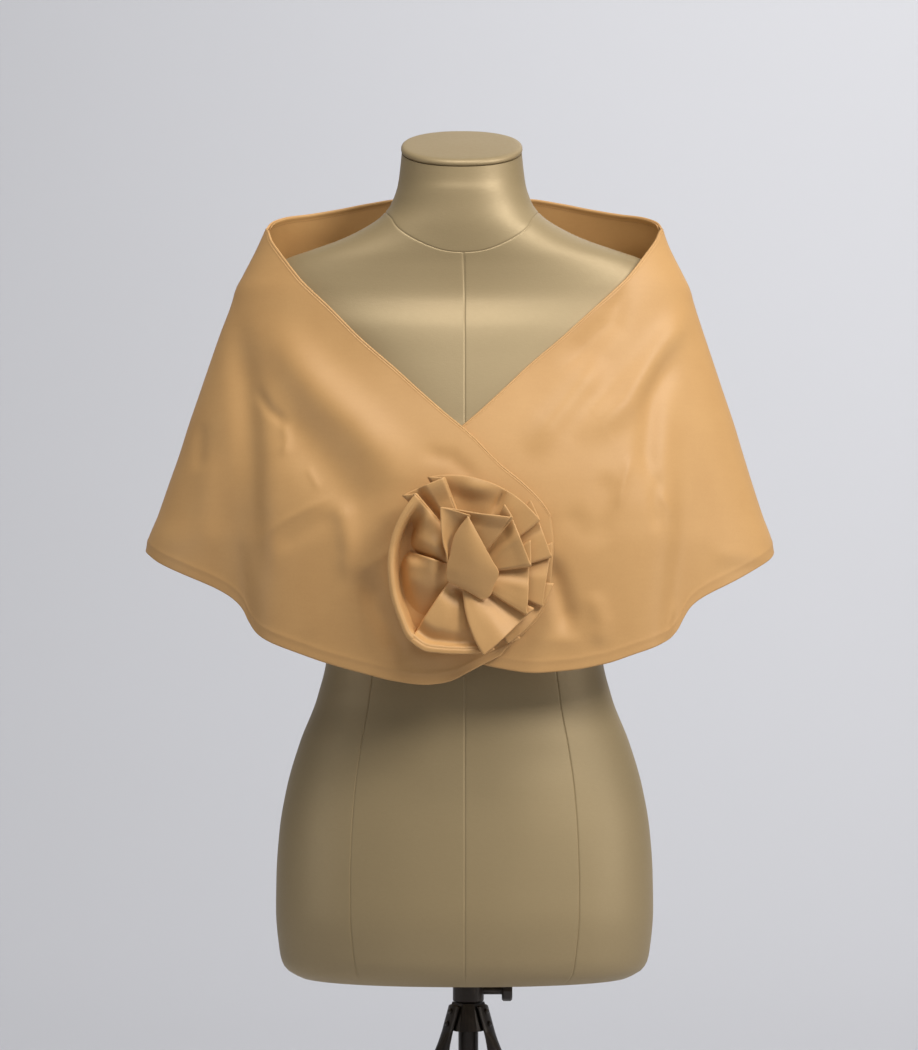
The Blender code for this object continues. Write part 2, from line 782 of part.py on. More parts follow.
def make_shawl():
    upper = front_grid(upper_end_turn, UPPER_HEM, UPPER_COLUMNS, PANEL_ROWS)
    under = front_grid(under_end_turn, UNDER_HEM, UNDER_COLUMNS, PANEL_ROWS)
    make_front("shawl_right_front", 1, upper, 1)
    make_front("shawl_left_front", -1, under, -1)
    make_back()


# Rosette


def on_front(sideways, up, lift):
    """Place a rosette point: its offsets from the centre, and its height above the right front."""
    x = ROSETTE_SIDEWAYS + sideways
    height = ROSETTE_HEIGHT + up
    across = np.abs(x - RING_LEAN(height)) / RING_WIDTH(height)
    power = SHAWL_SQUARENESS
    depth = RING_FRONT(height) * (1 - across**power) ** (1 / power) + LAYER_STEP
    return np.stack([x, -(depth + lift), height], axis=-1)


def polar(turn, reach):
    angle = np.radians(turn)
    return np.stack([reach * np.sin(angle), reach * np.cos(angle)], axis=-1)


class Fold:
    """A pleat's corner fold and the tuck below it, as lines from the root to the rim."""

    def __init__(self, pleat, root, root_lift, share):
        self.pleat = pleat
        self.tuck_root_turn = pleat.turn - math.degrees(TUCK_AT_ROOT / root)
        self.corner = line(polar(pleat.turn, root), polar(pleat.turn, pleat.reach), share)
        tuck_rim = polar(pleat.tuck_turn, pleat.tuck_reach)
        self.tuck = line(polar(self.tuck_root_turn, root), tuck_rim, share)
        way = self.corner - self.tuck
        self.width = np.linalg.norm(way, axis=1)
        self.way = way / self.width[:, None]
        self.top = root_lift + (pleat.lift - root_lift) * share
        self.level = LEVEL_AT_ROOT + (LEVEL_AT_RIM - LEVEL_AT_ROOT) * share

    def stations(self):
        """Give places and heights round the corner fold, back below it and round the tuck."""
        half = self.level / 2
        rows = []
        for middle, way, levels_down in ((self.corner, -1, 0), (self.tuck, 1, 1)):
            for step in range(FOLD_STEPS + 1):
                angle = math.pi * step / FOLD_STEPS
                along = way * half * (1 - math.sin(angle))
                drop = levels_down * self.level + half * (1 - math.cos(angle))
                rows.append((middle + self.way * along[:, None], self.top - drop))
        return rows


def line(start, end, share):
    return start + (end - start) * share[:, None]


# Where a panel starts: below the last fold, whose tuck hides its first few millimetres
PanelStart = namedtuple("PanelStart", "root_turn rim_turn rim_reach dip low hidden")


def tier_start(start, root_lift, share):
    low_root = root_lift - 2 * LEVEL_AT_ROOT
    low_rim = start.lift - 2 * LEVEL_AT_RIM
    low = low_root + (low_rim - low_root) * share
    return PanelStart(start.turn, start.tuck_turn, start.tuck_reach, start.dip, low, 0)


def start_below(fold):
    pleat = fold.pleat
    low = fold.top - 2 * fold.level
    return PanelStart(
        fold.tuck_root_turn, pleat.tuck_turn, pleat.tuck_reach, pleat.dip, low, fold.width
    )


def panel_grid(begin, fold, root, share, steps, is_bowl):
    """Give a panel's places, how far along it they lie and how far it has climbed there."""
    pleat = fold.pleat
    step = np.linspace(0, 1, steps)
    roots = polar(begin.root_turn + (pleat.turn - begin.root_turn) * step, root)
    reach = begin.rim_reach + (pleat.reach - begin.rim_reach) * step
    reach = reach - begin.dip * 4 * step * (1 - step)
    rim_turn = begin.rim_turn + (pleat.turn - begin.rim_turn) * step
    if is_bowl:
        reach = smooth_table(*zip(*BOWL_RIM))(rim_turn)
    rims = polar(rim_turn, reach)
    places = roots[:, None] + (rims - roots)[:, None] * share[None, :, None]
    lengths = np.linalg.norm(np.diff(places, axis=0), axis=2)
    along = np.concatenate([0 * share[None, :], np.cumsum(lengths, axis=0)])
    total = along[-1]
    margin = (CLOTH_AT_ROOT + (CLOTH_AT_RIM - CLOTH_AT_ROOT) * share) / 2 + FOLD_MARGIN
    climb_from = begin.hidden + margin
    climb_to = np.maximum(total - fold.width - margin, climb_from + SHORTEST_CLIMB * total)
    climb = smooth_step((along - climb_from) / (climb_to - climb_from))
    return places, along / total, climb


def bowl_lift(turn, along, share, lift):
    """Give the bowl's hollow and its soft gathers, which fade out at both ends and the rim."""
    rise = 0
    for gather in GATHERS:
        past = turn - (gather.root_turn + (gather.rim_turn - gather.root_turn) * share)
        climb = smooth_step(past / GATHER_CLIMB_TURN + 1) - smooth_step(past / GATHER_DROP_TURN)
        rise = rise + gather.rise * climb * np.sin(np.pi * share) ** GATHER_FADE
    hollow = (share - share**BOWL_CURVE) * (lift[:, -1:] - lift[:, :1])
    window = smooth_step(along / BOWL_FADE_IN) * smooth_step((1 - along) / BOWL_FADE_OUT)
    return (rise - hollow) * window


def ribbon_grid(start, pleats, root, root_lift, has_bowl):
    """Give the middle surface of a pleated strip: places and heights, column by column."""
    share = np.linspace(0, 1, RIBBON_ROWS)
    begin = tier_start(start, root_lift, share)
    places, lifts = [], []
    for number, pleat in enumerate(pleats):
        fold = Fold(pleat, root, root_lift, share)
        is_bowl = has_bowl and number == 0
        steps = BOWL_STEPS if is_bowl else PANEL_STEPS
        panel, along, climb = panel_grid(begin, fold, root, share, steps, is_bowl)
        lift = begin.low + (fold.top - begin.low) * climb
        if is_bowl:
            turn = np.linspace(start.turn, pleat.turn, steps)[:, None]
            lift = lift + bowl_lift(turn, along, share, lift)
        first = 0 if number == 0 else 1
        places.extend(panel[first:-1])
        lifts.extend(lift[first:-1])
        for place, height in fold.stations():
            places.append(place)
            lifts.append(height)
        begin = start_below(fold)
    return np.array(places), np.array(lifts)


def make_tier(name, start, pleats, root, root_lift, has_bowl):
    places, lifts = ribbon_grid(start, pleats, root, root_lift, has_bowl)
    middle = on_front(places[..., 0], places[..., 1], lifts)
    share = np.linspace(0, 1, RIBBON_ROWS)[None, :, None]
    half = (CLOTH_AT_ROOT + (CLOTH_AT_RIM - CLOTH_AT_ROOT) * share) / 2
    normals = grid_normals(middle)
    outward = middle[:, -1] - middle[:, -2]
    outward = outward / np.linalg.norm(outward, axis=1, keepdims=True)
    bead = middle[:, -1] + outward * CLOTH_AT_RIM * RIM_BEAD
    points, faces = wall_mesh(middle + normals * half, middle - normals * half, bead)
    add_object(name, points, faces, "satin")


def bud_valley(sideways, up):
    """Give the depth of the valley between the bud's broad face and its left flank."""
    top = np.array(BUD_VALLEY_TOP, float)
    way = np.array(BUD_VALLEY_FOOT) - top
    from_top = np.stack([sideways - top[0], up - top[1]], axis=-1)
    share = np.clip(from_top @ way / (way @ way), 0, 1)
    distance = np.linalg.norm(from_top - share[..., None] * way, axis=-1)
    return BUD_VALLEY_DEPTH * np.sin(np.pi * share) * np.exp(-((distance / BUD_VALLEY_WIDTH) ** 2))


def make_bud():
    """Make the folded centre: a thin hood whose edge follows the outline."""
    corners = np.array(BUD_OUTLINE + BUD_OUTLINE[:1])
    lengths = np.linalg.norm(np.diff(corners[:, :2], axis=0), axis=1)
    around = np.concatenate([[0], np.cumsum(lengths)])
    stops = np.arange(BUD_SEGMENTS) * around[-1] / BUD_SEGMENTS
    edge = np.stack([np.interp(stops, around, corners[:, k]) for k in range(3)], axis=1)
    points = []
    for inner in (0, CLOTH):
        for ring in range(1, BUD_RINGS + 1):
            share = ring / BUD_RINGS
            place = edge[:, :2] * share
            lift = BUD_TOP + (edge[:, 2] - BUD_TOP) * share**BUD_SWELL - inner
            lift = lift - bud_valley(place[:, 0], place[:, 1])
            points.append(on_front(place[:, 0], place[:, 1], lift))
        points.append(on_front(np.zeros(1), np.zeros(1), np.array([BUD_TOP - inner])))
    count = BUD_SEGMENTS
    layer = count * BUD_RINGS + 1
    faces = []
    for start in (0, layer):
        for ring in range(BUD_RINGS - 1):
            faces += ring_faces(start + ring * count, start + (ring + 1) * count, count)
        centre = start + layer - 1
        faces += [[centre, start + i, start + (i + 1) % count] for i in range(count)]
    last = (BUD_RINGS - 1) * count
    faces += ring_faces(last, layer + last, count)
    add_object("rosette_centre", np.concatenate(points), faces, "satin")


def make_rosette():
    make_tier("rosette_outer", OUTER_START, OUTER_PLEATS, OUTER_ROOT, OUTER_ROOT_LIFT, True)
    make_tier("rosette_inner", INNER_START, INNER_PLEATS, INNER_ROOT, INNER_ROOT_LIFT, False)
    make_bud()


def centre_on_floor():
    """Move every piece so that the middle of the whole thing's footprint is the origin."""
    solids = [found for found in bpy.data.objects if not found.hide_render]
    points = np.array([vertex.co for found in solids for vertex in found.data.vertices])
    middle = (points.min(axis=0) + points.max(axis=0)) / 2
    for found in bpy.data.objects:
        for vertex in found.data.vertices:
            vertex.co.x -= middle[0]
            vertex.co.y -= middle[1]
        found.data.update()
    print("moved by", -middle[0], -middle[1])


def main():
    clear_scene()
    make_form()
    make_stand()
    make_shawl()
    make_rosette()
    centre_on_floor()


if __name__ == "__main__":
    main()
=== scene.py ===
# %% [markdown]
# # A stiff satin shawl with a pleated rosette, on a dress form
# This notebook dresses a plain CAD model. The frame gives the true size, the bodies that move
# and the room that each piece may take. The cloth shells with their creases, the pleated rosette
# and the covered form with its sewn seams are made here, on top of that frame. The metal stand
# keeps the frame's own shapes.
# Lengths in the tables are millimetres above the underside of the form. A turn is an angle
# about the upright axis: 0 is the front, 90 is the viewer's right, 180 is the back.

# %% Load the frame
import math
from collections import namedtuple

import bpy
import numpy as np
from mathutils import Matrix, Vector


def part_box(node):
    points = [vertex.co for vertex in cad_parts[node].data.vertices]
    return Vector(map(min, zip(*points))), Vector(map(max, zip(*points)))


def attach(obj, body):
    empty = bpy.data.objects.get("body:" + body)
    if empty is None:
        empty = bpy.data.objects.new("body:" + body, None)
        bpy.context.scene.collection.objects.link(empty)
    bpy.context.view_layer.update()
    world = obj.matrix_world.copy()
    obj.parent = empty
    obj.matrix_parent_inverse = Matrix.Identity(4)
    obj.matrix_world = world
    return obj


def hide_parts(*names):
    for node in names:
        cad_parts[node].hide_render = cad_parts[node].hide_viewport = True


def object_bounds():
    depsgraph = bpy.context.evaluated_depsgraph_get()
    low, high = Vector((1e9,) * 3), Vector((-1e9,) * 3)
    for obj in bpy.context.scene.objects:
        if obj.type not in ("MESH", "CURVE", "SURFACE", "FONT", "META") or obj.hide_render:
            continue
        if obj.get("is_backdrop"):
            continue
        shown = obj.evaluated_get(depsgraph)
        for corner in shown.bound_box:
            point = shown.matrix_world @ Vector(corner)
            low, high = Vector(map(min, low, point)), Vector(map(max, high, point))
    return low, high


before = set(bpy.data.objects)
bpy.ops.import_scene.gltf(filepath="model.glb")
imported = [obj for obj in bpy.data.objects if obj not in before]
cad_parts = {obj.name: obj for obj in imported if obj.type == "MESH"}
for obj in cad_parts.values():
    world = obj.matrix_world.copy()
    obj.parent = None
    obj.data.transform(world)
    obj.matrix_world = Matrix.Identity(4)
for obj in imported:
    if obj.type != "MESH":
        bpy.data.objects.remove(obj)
cad_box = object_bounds()
print("CAD box:", [tuple(round(x, 4) for x in corner) for corner in cad_box])

# %% [markdown]
# ## The camera
# The photograph was taken from straight ahead, level with the top of the rosette, with a long
# lens: the form shows hardly any top or bottom face. The camera stands 3.3 m away, and the
# focal length follows from the 0.9 mm that a pixel covers at the form's middle.

# %% Camera
PHOTO_HEIGHT = 1050
MM_PER_PIXEL = 0.9
CAMERA_DISTANCE = 3300
CAMERA_HEIGHT = 405
CAMERA_SIDEWAYS = -5
SENSOR = 36
STAND_SIDEWAYS = 3.4
SEAM_GAP = 0.3
MM = 0.001

pole_low, pole_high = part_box("stand_pole")
ORIGIN = np.array([
    (pole_low.x + pole_high.x) / 2 / MM - STAND_SIDEWAYS,
    (pole_low.y + pole_high.y) / 2 / MM,
    pole_high.z / MM + SEAM_GAP,
])


def to_row(points):
    """Turn points in the tables' millimetres into metres in the frame."""
    return (np.asarray(points, float) + ORIGIN) * MM


camera = bpy.data.objects.new("camera", bpy.data.cameras.new("camera"))
bpy.context.scene.collection.objects.link(camera)
camera.location = to_row([CAMERA_SIDEWAYS, -CAMERA_DISTANCE, CAMERA_HEIGHT])
camera.rotation_euler = (math.pi / 2, 0, 0)
camera.data.sensor_width = SENSOR
camera.data.lens = SENSOR * CAMERA_DISTANCE / (MM_PER_PIXEL * PHOTO_HEIGHT)
bpy.context.scene.camera = camera
bpy.context.scene.view_settings.view_transform = "Standard"
print("camera at", tuple(round(x, 3) for x in camera.location), "lens", round(camera.data.lens, 1))

# %% [markdown]
# ## Helpers for smooth shapes
# A garment is drafted from a few measures. `smooth_table` runs a smooth curve through the
# values of a short table without overshooting them, so a hem or an outline never wobbles.


# %% Smooth curves through short tables
def smooth_step(share):
    share = np.clip(share, 0, 1)
    return share * share * (3 - 2 * share)


def smooth_table(places, values):
    """Give a function that runs smoothly through the values and never overshoots them."""
    order = np.argsort(places)
    x = np.asarray(places, float)[order]
    y = np.asarray(values, float)[order]
    slopes = np.diff(y) / np.diff(x)
    before, after = slopes[:-1], slopes[1:]
    together = np.where(before * after > 0, before + after, 1)
    bends = np.where(before * after > 0, 2 * before * after / together, 0)
    tangents = np.concatenate([slopes[:1], bends, slopes[-1:]])

    def value_at(place):
        place = np.clip(place, x[0], x[-1])
        left = np.clip(np.searchsorted(x, place, side="right") - 1, 0, len(x) - 2)
        width = x[left + 1] - x[left]
        t = (place - x[left]) / width
        rise = (2 * t**3 - 3 * t**2 + 1) * y[left] + (3 * t**2 - 2 * t**3) * y[left + 1]
        lean = (t**3 - 2 * t**2 + t) * tangents[left] + (t**3 - t**2) * tangents[left + 1]
        return rise + width * lean

    return value_at


def table_columns(rows):
    """Give one smooth function of the first column for each other column of a table."""
    columns = list(zip(*rows))
    return [smooth_table(columns[0], column) for column in columns[1:]]


def curve_through(rows):
    """Give the smooth function of a table with two columns."""
    return table_columns(rows)[0]


def arch(share):
    """Give 0 at both ends and 1 in the middle."""
    return 4 * share * (1 - share)


def bell(distance, width):
    return np.exp(-((distance / width) ** 2))


def unit(vectors):
    return vectors / np.linalg.norm(vectors, axis=-1, keepdims=True)


def step_lengths(path):
    return np.linalg.norm(np.diff(path, axis=0), axis=-1)


def surface_normals(grid):
    return unit(np.cross(np.gradient(grid, axis=0), np.gradient(grid, axis=1)))


# %% [markdown]
# ## Shader arithmetic
# A material is easier to read as a formula than as a picture of boxes. `Shade` wraps one
# output socket of a material, and arithmetic on it adds Math nodes. Everything that is not
# arithmetic comes from its one method `add`.


# %% Shade: sockets that take part in arithmetic
class Shade:
    def __init__(self, tree, socket=None):
        self.tree = tree
        self.socket = socket

    def add(self, kind, settings=None, inputs=None, output=0):
        """Add a node: its settings first, then the values or links of its sockets."""
        node = self.tree.nodes.new(kind)
        for name, value in (settings or {}).items():
            setattr(node, name, value)
        for name, value in (inputs or {}).items():
            if isinstance(value, Shade):
                self.tree.links.new(value.socket, node.inputs[name])
            else:
                node.inputs[name].default_value = value
        return Shade(self.tree, node.outputs[output])

    def maths(self, operation, *values):
        return self.add("ShaderNodeMath", {"operation": operation}, dict(enumerate(values)))

    def __add__(self, other):
        return self.maths("ADD", self, other)

    def __sub__(self, other):
        return self.maths("SUBTRACT", self, other)

    def __rsub__(self, other):
        return self.maths("SUBTRACT", other, self)

    def __mul__(self, other):
        return self.maths("MULTIPLY", self, other)


def stretched(start, scale):
    """Give the piece's own coordinates, stretched by a scale for each direction."""
    where = start.add("ShaderNodeTexCoord", output=3)
    return start.add("ShaderNodeMapping", None, {"Vector": where, "Scale": scale})


def noise(start, scale, detail, roughness=0.5):
    inputs = {"Vector": stretched(start, scale), "Scale": 1.0, "Detail": detail}
    return start.add("ShaderNodeTexNoise", None, {**inputs, "Roughness": roughness})


def mix_colours(share, first, second):
    inputs = {0: share, 6: (*first, 1), 7: (*second, 1)}
    return share.add("ShaderNodeMix", {"data_type": "RGBA"}, inputs, output=2)


def new_material(name, sockets):
    """Make a material whose shader has the given fixed values, and give a Shade to start from."""
    material = bpy.data.materials.new(name)
    material.use_nodes = True
    shader = material.node_tree.nodes["Principled BSDF"]
    for socket, value in sockets.items():
        shader.inputs[socket].default_value = value
    return material, Shade(material.node_tree), shader


def drive(shader, socket, value):
    value.tree.links.new(value.socket, shader.inputs[socket])


def bump(shader, height, distance, strength):
    """Let a height, in millimetres, tilt the surface."""
    inputs = {"Height": height, "Distance": distance * MM, "Strength": strength}
    drive(shader, "Normal", height.add("ShaderNodeBump", None, inputs))


# %% [markdown]
# ## Satin
# Duchess satin is a dense, stiff cloth. From a step away no thread shows, but its long floats
# give soft broad highlights, and its warm tan shifts a little from place to place. The floats
# are very fine lines along the cloth, so the bump is a noise stretched a long way sideways,
# over a slow slubby unevenness and a fine grain. A little sheen softens the edge of each fold.

# %% The shawl's satin
SATIN_LIGHT = (0.640, 0.372, 0.148)
SATIN_DEEP = (0.540, 0.294, 0.108)
THREAD_LIGHT = (0.36, 0.18, 0.065)
THREAD_DEEP = (0.28, 0.13, 0.045)


def make_satin(name, light, deep):
    fixed = {"Sheen Weight": 0.06, "Sheen Roughness": 0.4, "Sheen Tint": (1.0, 0.72, 0.42, 1)}
    fixed["Specular IOR Level"] = 0.35
    material, start, shader = new_material(name, fixed)
    patches = noise(start, (9, 9, 7), 3.0, 0.6)
    blotches = noise(start, (34, 34, 26), 2.0, 0.5)
    threads = noise(start, (900, 900, 5200), 2.0)
    slub = noise(start, (60, 60, 420), 3.0)
    grain = noise(start, (620, 620, 620), 3.0, 0.7)
    share = patches * 0.7 + blotches * 0.5 + slub * 0.2 + grain * 0.5 - 0.45
    drive(shader, "Base Color", mix_colours(share, light, deep))
    drive(shader, "Roughness", patches * 0.08 + threads * 0.06 + 0.42)
    bump(shader, threads * 0.4 + slub * 0.2 + grain * 0.4, 0.1, 0.8)
    return material


satin = make_satin("satin", SATIN_LIGHT, SATIN_DEEP)
satin_thread = make_satin("satin_thread", THREAD_LIGHT, THREAD_DEEP)

# %% [markdown]
# ## The form's cover
# The form is covered in a pearly leatherette: a pale gold coating that catches light in broad
# soft streaks, with a fine pebble that lies slightly flattened round the body. A partly
# metallic base gives the pearl, and two sizes of pebble give the grain.

# %% The pearly leatherette
COVER_LIGHT = (0.395, 0.298, 0.158)
COVER_DEEP = (0.322, 0.235, 0.118)
COVER_THREAD_LIGHT = (0.20, 0.15, 0.08)
COVER_THREAD_DEEP = (0.16, 0.115, 0.06)


def make_cover(name, light, deep):
    material, start, shader = new_material(name, {"Coat Roughness": 0.45})
    drift = noise(start, (7, 7, 5), 2.0)
    wrinkle = noise(start, (260, 260, 620), 3.0, 0.6)
    cells = start.add(
        "ShaderNodeTexVoronoi",
        {"feature": "SMOOTH_F1"},
        {"Vector": stretched(start, (900, 900, 1300)), "Scale": 1.0, "Smoothness": 0.6},
    )
    share = drift * 0.7 + wrinkle * 0.3
    drive(shader, "Base Color", mix_colours(share, light, deep))
    drive(shader, "Metallic", drift * 0.1 + 0.22)
    drive(shader, "Roughness", wrinkle * 0.10 + 0.45)
    bump(shader, wrinkle * 0.6 + cells * 0.4, 0.12, 0.7)
    return material


cover = make_cover("form_cover", COVER_LIGHT, COVER_DEEP)
cover_thread = make_cover("cover_thread", COVER_THREAD_LIGHT, COVER_THREAD_DEEP)

# %% [markdown]
# ## Metal and rubber
# The stand is steel under a dark brown baked paint with a slight orange-peel surface, worn a
# little brighter in patches. The feet are matt rubber.


# %% Painted steel and rubber
PAINT, PAINT_WORN = (0.030, 0.022, 0.016), (0.11, 0.085, 0.065)
RUBBER_DARK, RUBBER_LIGHT = (0.018, 0.018, 0.018), (0.035, 0.034, 0.032)


def make_paint():
    lacquer = {"Coat Weight": 0.25, "Coat Roughness": 0.3}
    material, start, shader = new_material("dark_metal", lacquer)
    peel = noise(start, (420, 420, 420), 2.0)
    rubbed = noise(start, (35, 35, 14), 4.0, 0.65)
    spread = {"Value": rubbed, "From Min": 0.52, "From Max": 0.8}
    worn = rubbed.add("ShaderNodeMapRange", None, spread)
    drive(shader, "Base Color", mix_colours(worn, PAINT, PAINT_WORN))
    drive(shader, "Metallic", worn * 0.3 + 0.5)
    drive(shader, "Roughness", 0.36 - worn * 0.08 + peel * 0.08)
    bump(shader, peel, 0.08, 0.4)
    return material


def make_rubber():
    material, start, shader = new_material("foot_rubber", {})
    grain = noise(start, (500, 500, 500), 3.0)
    drive(shader, "Base Color", mix_colours(grain, RUBBER_DARK, RUBBER_LIGHT))
    drive(shader, "Roughness", grain * 0.15 + 0.7)
    bump(shader, grain, 0.1, 0.6)
    return material


paint = make_paint()
rubber = make_rubber()

# %% [markdown]
# ## Making pieces
# Each piece is a mesh that is worked out point by point and then fixed to the body it moves
# with. Cloth is a closed shell: the outer face, the inner face, and an edge that is rounded
# where the cloth is folded, and grooved where two layers meet at a neckline.


# %% Meshes and bodies
def add_piece(name, points, faces, material, stands_for=(), sharp=None):
    """Make a named piece from the tables' millimetres and fix it to the dressed form."""
    mesh = bpy.data.meshes.new(name)
    mesh.from_pydata(to_row(points).tolist(), [], faces)
    mesh.shade_smooth()
    if sharp is not None:
        mesh.set_sharp_from_angle(angle=math.radians(sharp))
    mesh.materials.append(material)
    piece = bpy.data.objects.new(name, mesh)
    bpy.context.scene.collection.objects.link(piece)
    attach(piece, "dressed_form")
    if stands_for:
        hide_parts(*stands_for)
    print(name, "faces", len(faces))
    return piece


def grid_faces(columns, rows, start=0, flip=False):
    faces = []
    for i in range(columns - 1):
        for j in range(rows - 1):
            a = start + i * rows + j
            corner = [a, a + rows, a + rows + 1, a + 1]
            faces.append(corner[::-1] if flip else corner)
    return faces


def border(columns, rows):
    """Give the indices round a grid's edge, in order, starting along the first row."""
    top = [i * rows for i in range(columns)]
    end = [(columns - 1) * rows + j for j in range(1, rows)]
    bottom = [i * rows + rows - 1 for i in range(columns - 2, -1, -1)]
    start = list(range(rows - 2, 0, -1))
    return top + end + bottom + start


def band_faces(first, second, flip=False):
    """Give the faces between two closed rings of points, each a list of their indices."""
    faces = []
    for k in range(len(first)):
        after = (k + 1) % len(first)
        near, far = (after, k) if flip else (k, after)
        faces.append([first[near], first[far], second[far], second[near]])
    return faces


# %% Closed shells of cloth
# Places round a cloth's edge: how far each stands out, and how far down, in thicknesses
FOLDED_EDGE = ((0.16, 0.07), (0.38, 0.22), (0.50, 0.44), (0.50, 0.56), (0.38, 0.78), (0.16, 0.93))
DOUBLE_EDGE = ((0.22, 0.05), (0.42, 0.22), (0.06, 0.44), (0.06, 0.56), (0.42, 0.78), (0.22, 0.95))


def shell(outer, normals, thickness, double_share, flat_share):
    """Close a cloth's outer face into a shell.

    double_share and flat_share say, for each point round the edge, how far its edge is the
    grooved edge of two layers, and how far it is cut flat, as where it is sewn to the next.
    """
    columns, rows = outer.shape[:2]
    thickness = np.broadcast_to(thickness, outer.shape[:2])[..., None]
    inner = outer - normals * thickness
    flat_outer, flat_inner = outer.reshape(-1, 3), inner.reshape(-1, 3)
    count = columns * rows
    faces = grid_faces(columns, rows) + grid_faces(columns, rows, count, flip=True)
    loop = border(columns, rows)
    edge = flat_outer[loop]
    across = unit(flat_outer[loop] - flat_inner[loop])
    along = unit(np.roll(edge, -1, axis=0) - np.roll(edge, 1, axis=0))
    outward = unit(np.cross(across, along))
    inside = flat_outer[[
        min(max(index // rows, 1), columns - 2) * rows + min(max(index % rows, 1), rows - 2)
        for index in loop
    ]]
    outward = outward * np.sign(np.sum(outward * (edge - inside)))
    depth = thickness.reshape(-1)[loop]
    points = [flat_outer, flat_inner]
    for folded, double in zip(FOLDED_EDGE, DOUBLE_EDGE):
        out = folded[0] + (double[0] - folded[0]) * double_share
        down = folded[1] + (double[1] - folded[1]) * double_share
        reach = out * (1 - flat_share) * depth
        points.append(edge + outward * reach[:, None] - across * (down * depth)[:, None])
    steps = len(FOLDED_EDGE)
    size = len(loop)
    rings = [loop]
    rings += [[2 * count + step * size + k for k in range(size)] for step in range(steps)]
    rings.append([count + index for index in loop])
    for first, second in zip(rings[:-1], rings[1:]):
        faces += band_faces(first, second, flip=True)
    return np.concatenate(points), faces


# %% [markdown]
# ## The form's shape
# A dress form is drafted as a stack of rounded rings. Its cover is cut in panels that meet in
# seams: centre front, two princess seams, the sides, two more behind and the centre back, and
# one round the foot of the neck. Rather than carve seams into a finished body, the mesh's own
# lines follow them, so that a narrow row of faces sinks into each seam.

# %% Rings of the form
# Each ring: its height, its half width, and how far it reaches in front and behind
FORM_RINGS = [
    (0, 148, 88, 94), (5, 158, 97, 104), (13, 164, 104, 111), (24, 166.5, 108, 115),
    (60, 169.6, 112, 118), (90, 169.2, 110, 120), (130, 166.5, 106, 115), (170, 159.7, 100, 104),
    (210, 148, 93, 90), (250, 132.5, 88, 77), (290, 124, 86, 70), (330, 126, 90, 70),
    (380, 135, 102, 76), (430, 145, 113, 84), (465, 150, 113, 90), (500, 152, 103, 96),
    (550, 160, 87, 94), (580, 178, 76, 86), (597, 196, 66, 76), (606, 200.5, 62, 72),
    (614, 198, 60, 70), (628, 186, 58, 70), (642, 165, 57, 70), (653, 134, 57, 70),
    (661, 111, 57, 68), (672, 88, 57, 65), (682, 73, 56, 62), (693, 64, 55, 58),
    (711, 57.6, 54, 54), (726, 55.5, 52.5, 52.5), (741, 54, 51, 51),
]
FORM_WIDTH, FORM_FRONT, FORM_BACK = table_columns(FORM_RINGS)
FORM_ROUNDNESS = 2.2
NECK_TILT = math.tan(math.radians(20))
NECK_TILT_START = 694
NECK_TILT_FULL = 736
NECK_SIDEWAYS = -2.5
NECK_SIDEWAYS_START, NECK_SIDEWAYS_RUN = 600, 100
NECK_TOP = 741


def form_point(turn, height, grow=0.0):
    """Give a point on the form's cover, grown outwards by a distance."""
    angle = np.radians(turn)
    side, depth = np.sin(angle), -np.cos(angle)
    power = 2 / FORM_ROUNDNESS
    half = FORM_WIDTH(height) + grow
    reach = np.where(depth < 0, FORM_FRONT(height), FORM_BACK(height)) + grow
    x = half * np.sign(side) * np.abs(side) ** power
    y = reach * np.sign(depth) * np.abs(depth) ** power
    tilt = NECK_TILT * smooth_step((height - NECK_TILT_START) / (NECK_TILT_FULL - NECK_TILT_START))
    x = x + NECK_SIDEWAYS * smooth_step((height - NECK_SIDEWAYS_START) / NECK_SIDEWAYS_RUN)
    return np.stack([x, y, height + y * tilt + 0 * x], axis=-1)


def form_normals(turn, height):
    over = form_point(turn + 0.5, height) - form_point(turn - 0.5, height)
    up = form_point(turn, height + 0.5) - form_point(turn, height - 0.5)
    return unit(np.cross(over, up))


def mm_per_turn(turn, height):
    """Give how many millimetres of the cover lie in one degree of turn."""
    return np.linalg.norm(form_point(turn + 1, height) - form_point(turn - 1, height), axis=1) / 2


# %% [markdown]
# The princess seams start apart at the waist and spread over the hips, so each seam has a turn
# for every height. Between two seams the columns of the mesh are spread evenly, and a few more
# crowd against each seam for its groove. The neck seam does the same to the rows.

# %% Seams and the grid that follows them
# Each place: its height, and the turns of the front and the back princess seam
PRINCESS_SEAMS = [
    (0, 33, 148), (60, 34, 147), (130, 34.5, 146), (210, 36, 145), (280, 38, 144), (420, 36, 142),
    (560, 38, 140), (640, 46, 136), (741, 60, 128),
]
FRONT_SEAM_TURN, BACK_SEAM_TURN = table_columns(PRINCESS_SEAMS)
SIDE_TURN = 92
NECK_SEAM = smooth_table(
    (0, 3, 6.3, 10, 15, 35, 54.6, 75, 90, 135, 180),
    (646.3, 646.9, 648.6, 651.4, 655.4, 668.5, 679, 684.5, 686.5, 694, 697),
)
NECK_LEVEL = 680
NECK_BEND_FOOT, NECK_BEND_TOP = 540, 722
GROOVE_PLACES = (0, 0.3, 0.6, 1.0, 1.8, 4)
GROOVE_WIDTH = 0.42
GROOVE_DEPTH = 0.5
PUFF, PUFF_PLACE, PUFF_WIDTH = 0.03, 2.2, 1.6
SEAM_END_FOOT, SEAM_END_TOP = 12, 6
SEAM_FADE_FOOT, SEAM_FADE_TOP = 440, 500
PANEL_COLUMNS = 24
FORM_ROW = 4.0
SHARP_EDGE = 60


def groove(distance):
    """Give how far the cover lies in or out at a distance from a seam."""
    sunk = -GROOVE_DEPTH * bell(distance, GROOVE_WIDTH)
    return sunk + PUFF * bell(distance - PUFF_PLACE, PUFF_WIDTH)


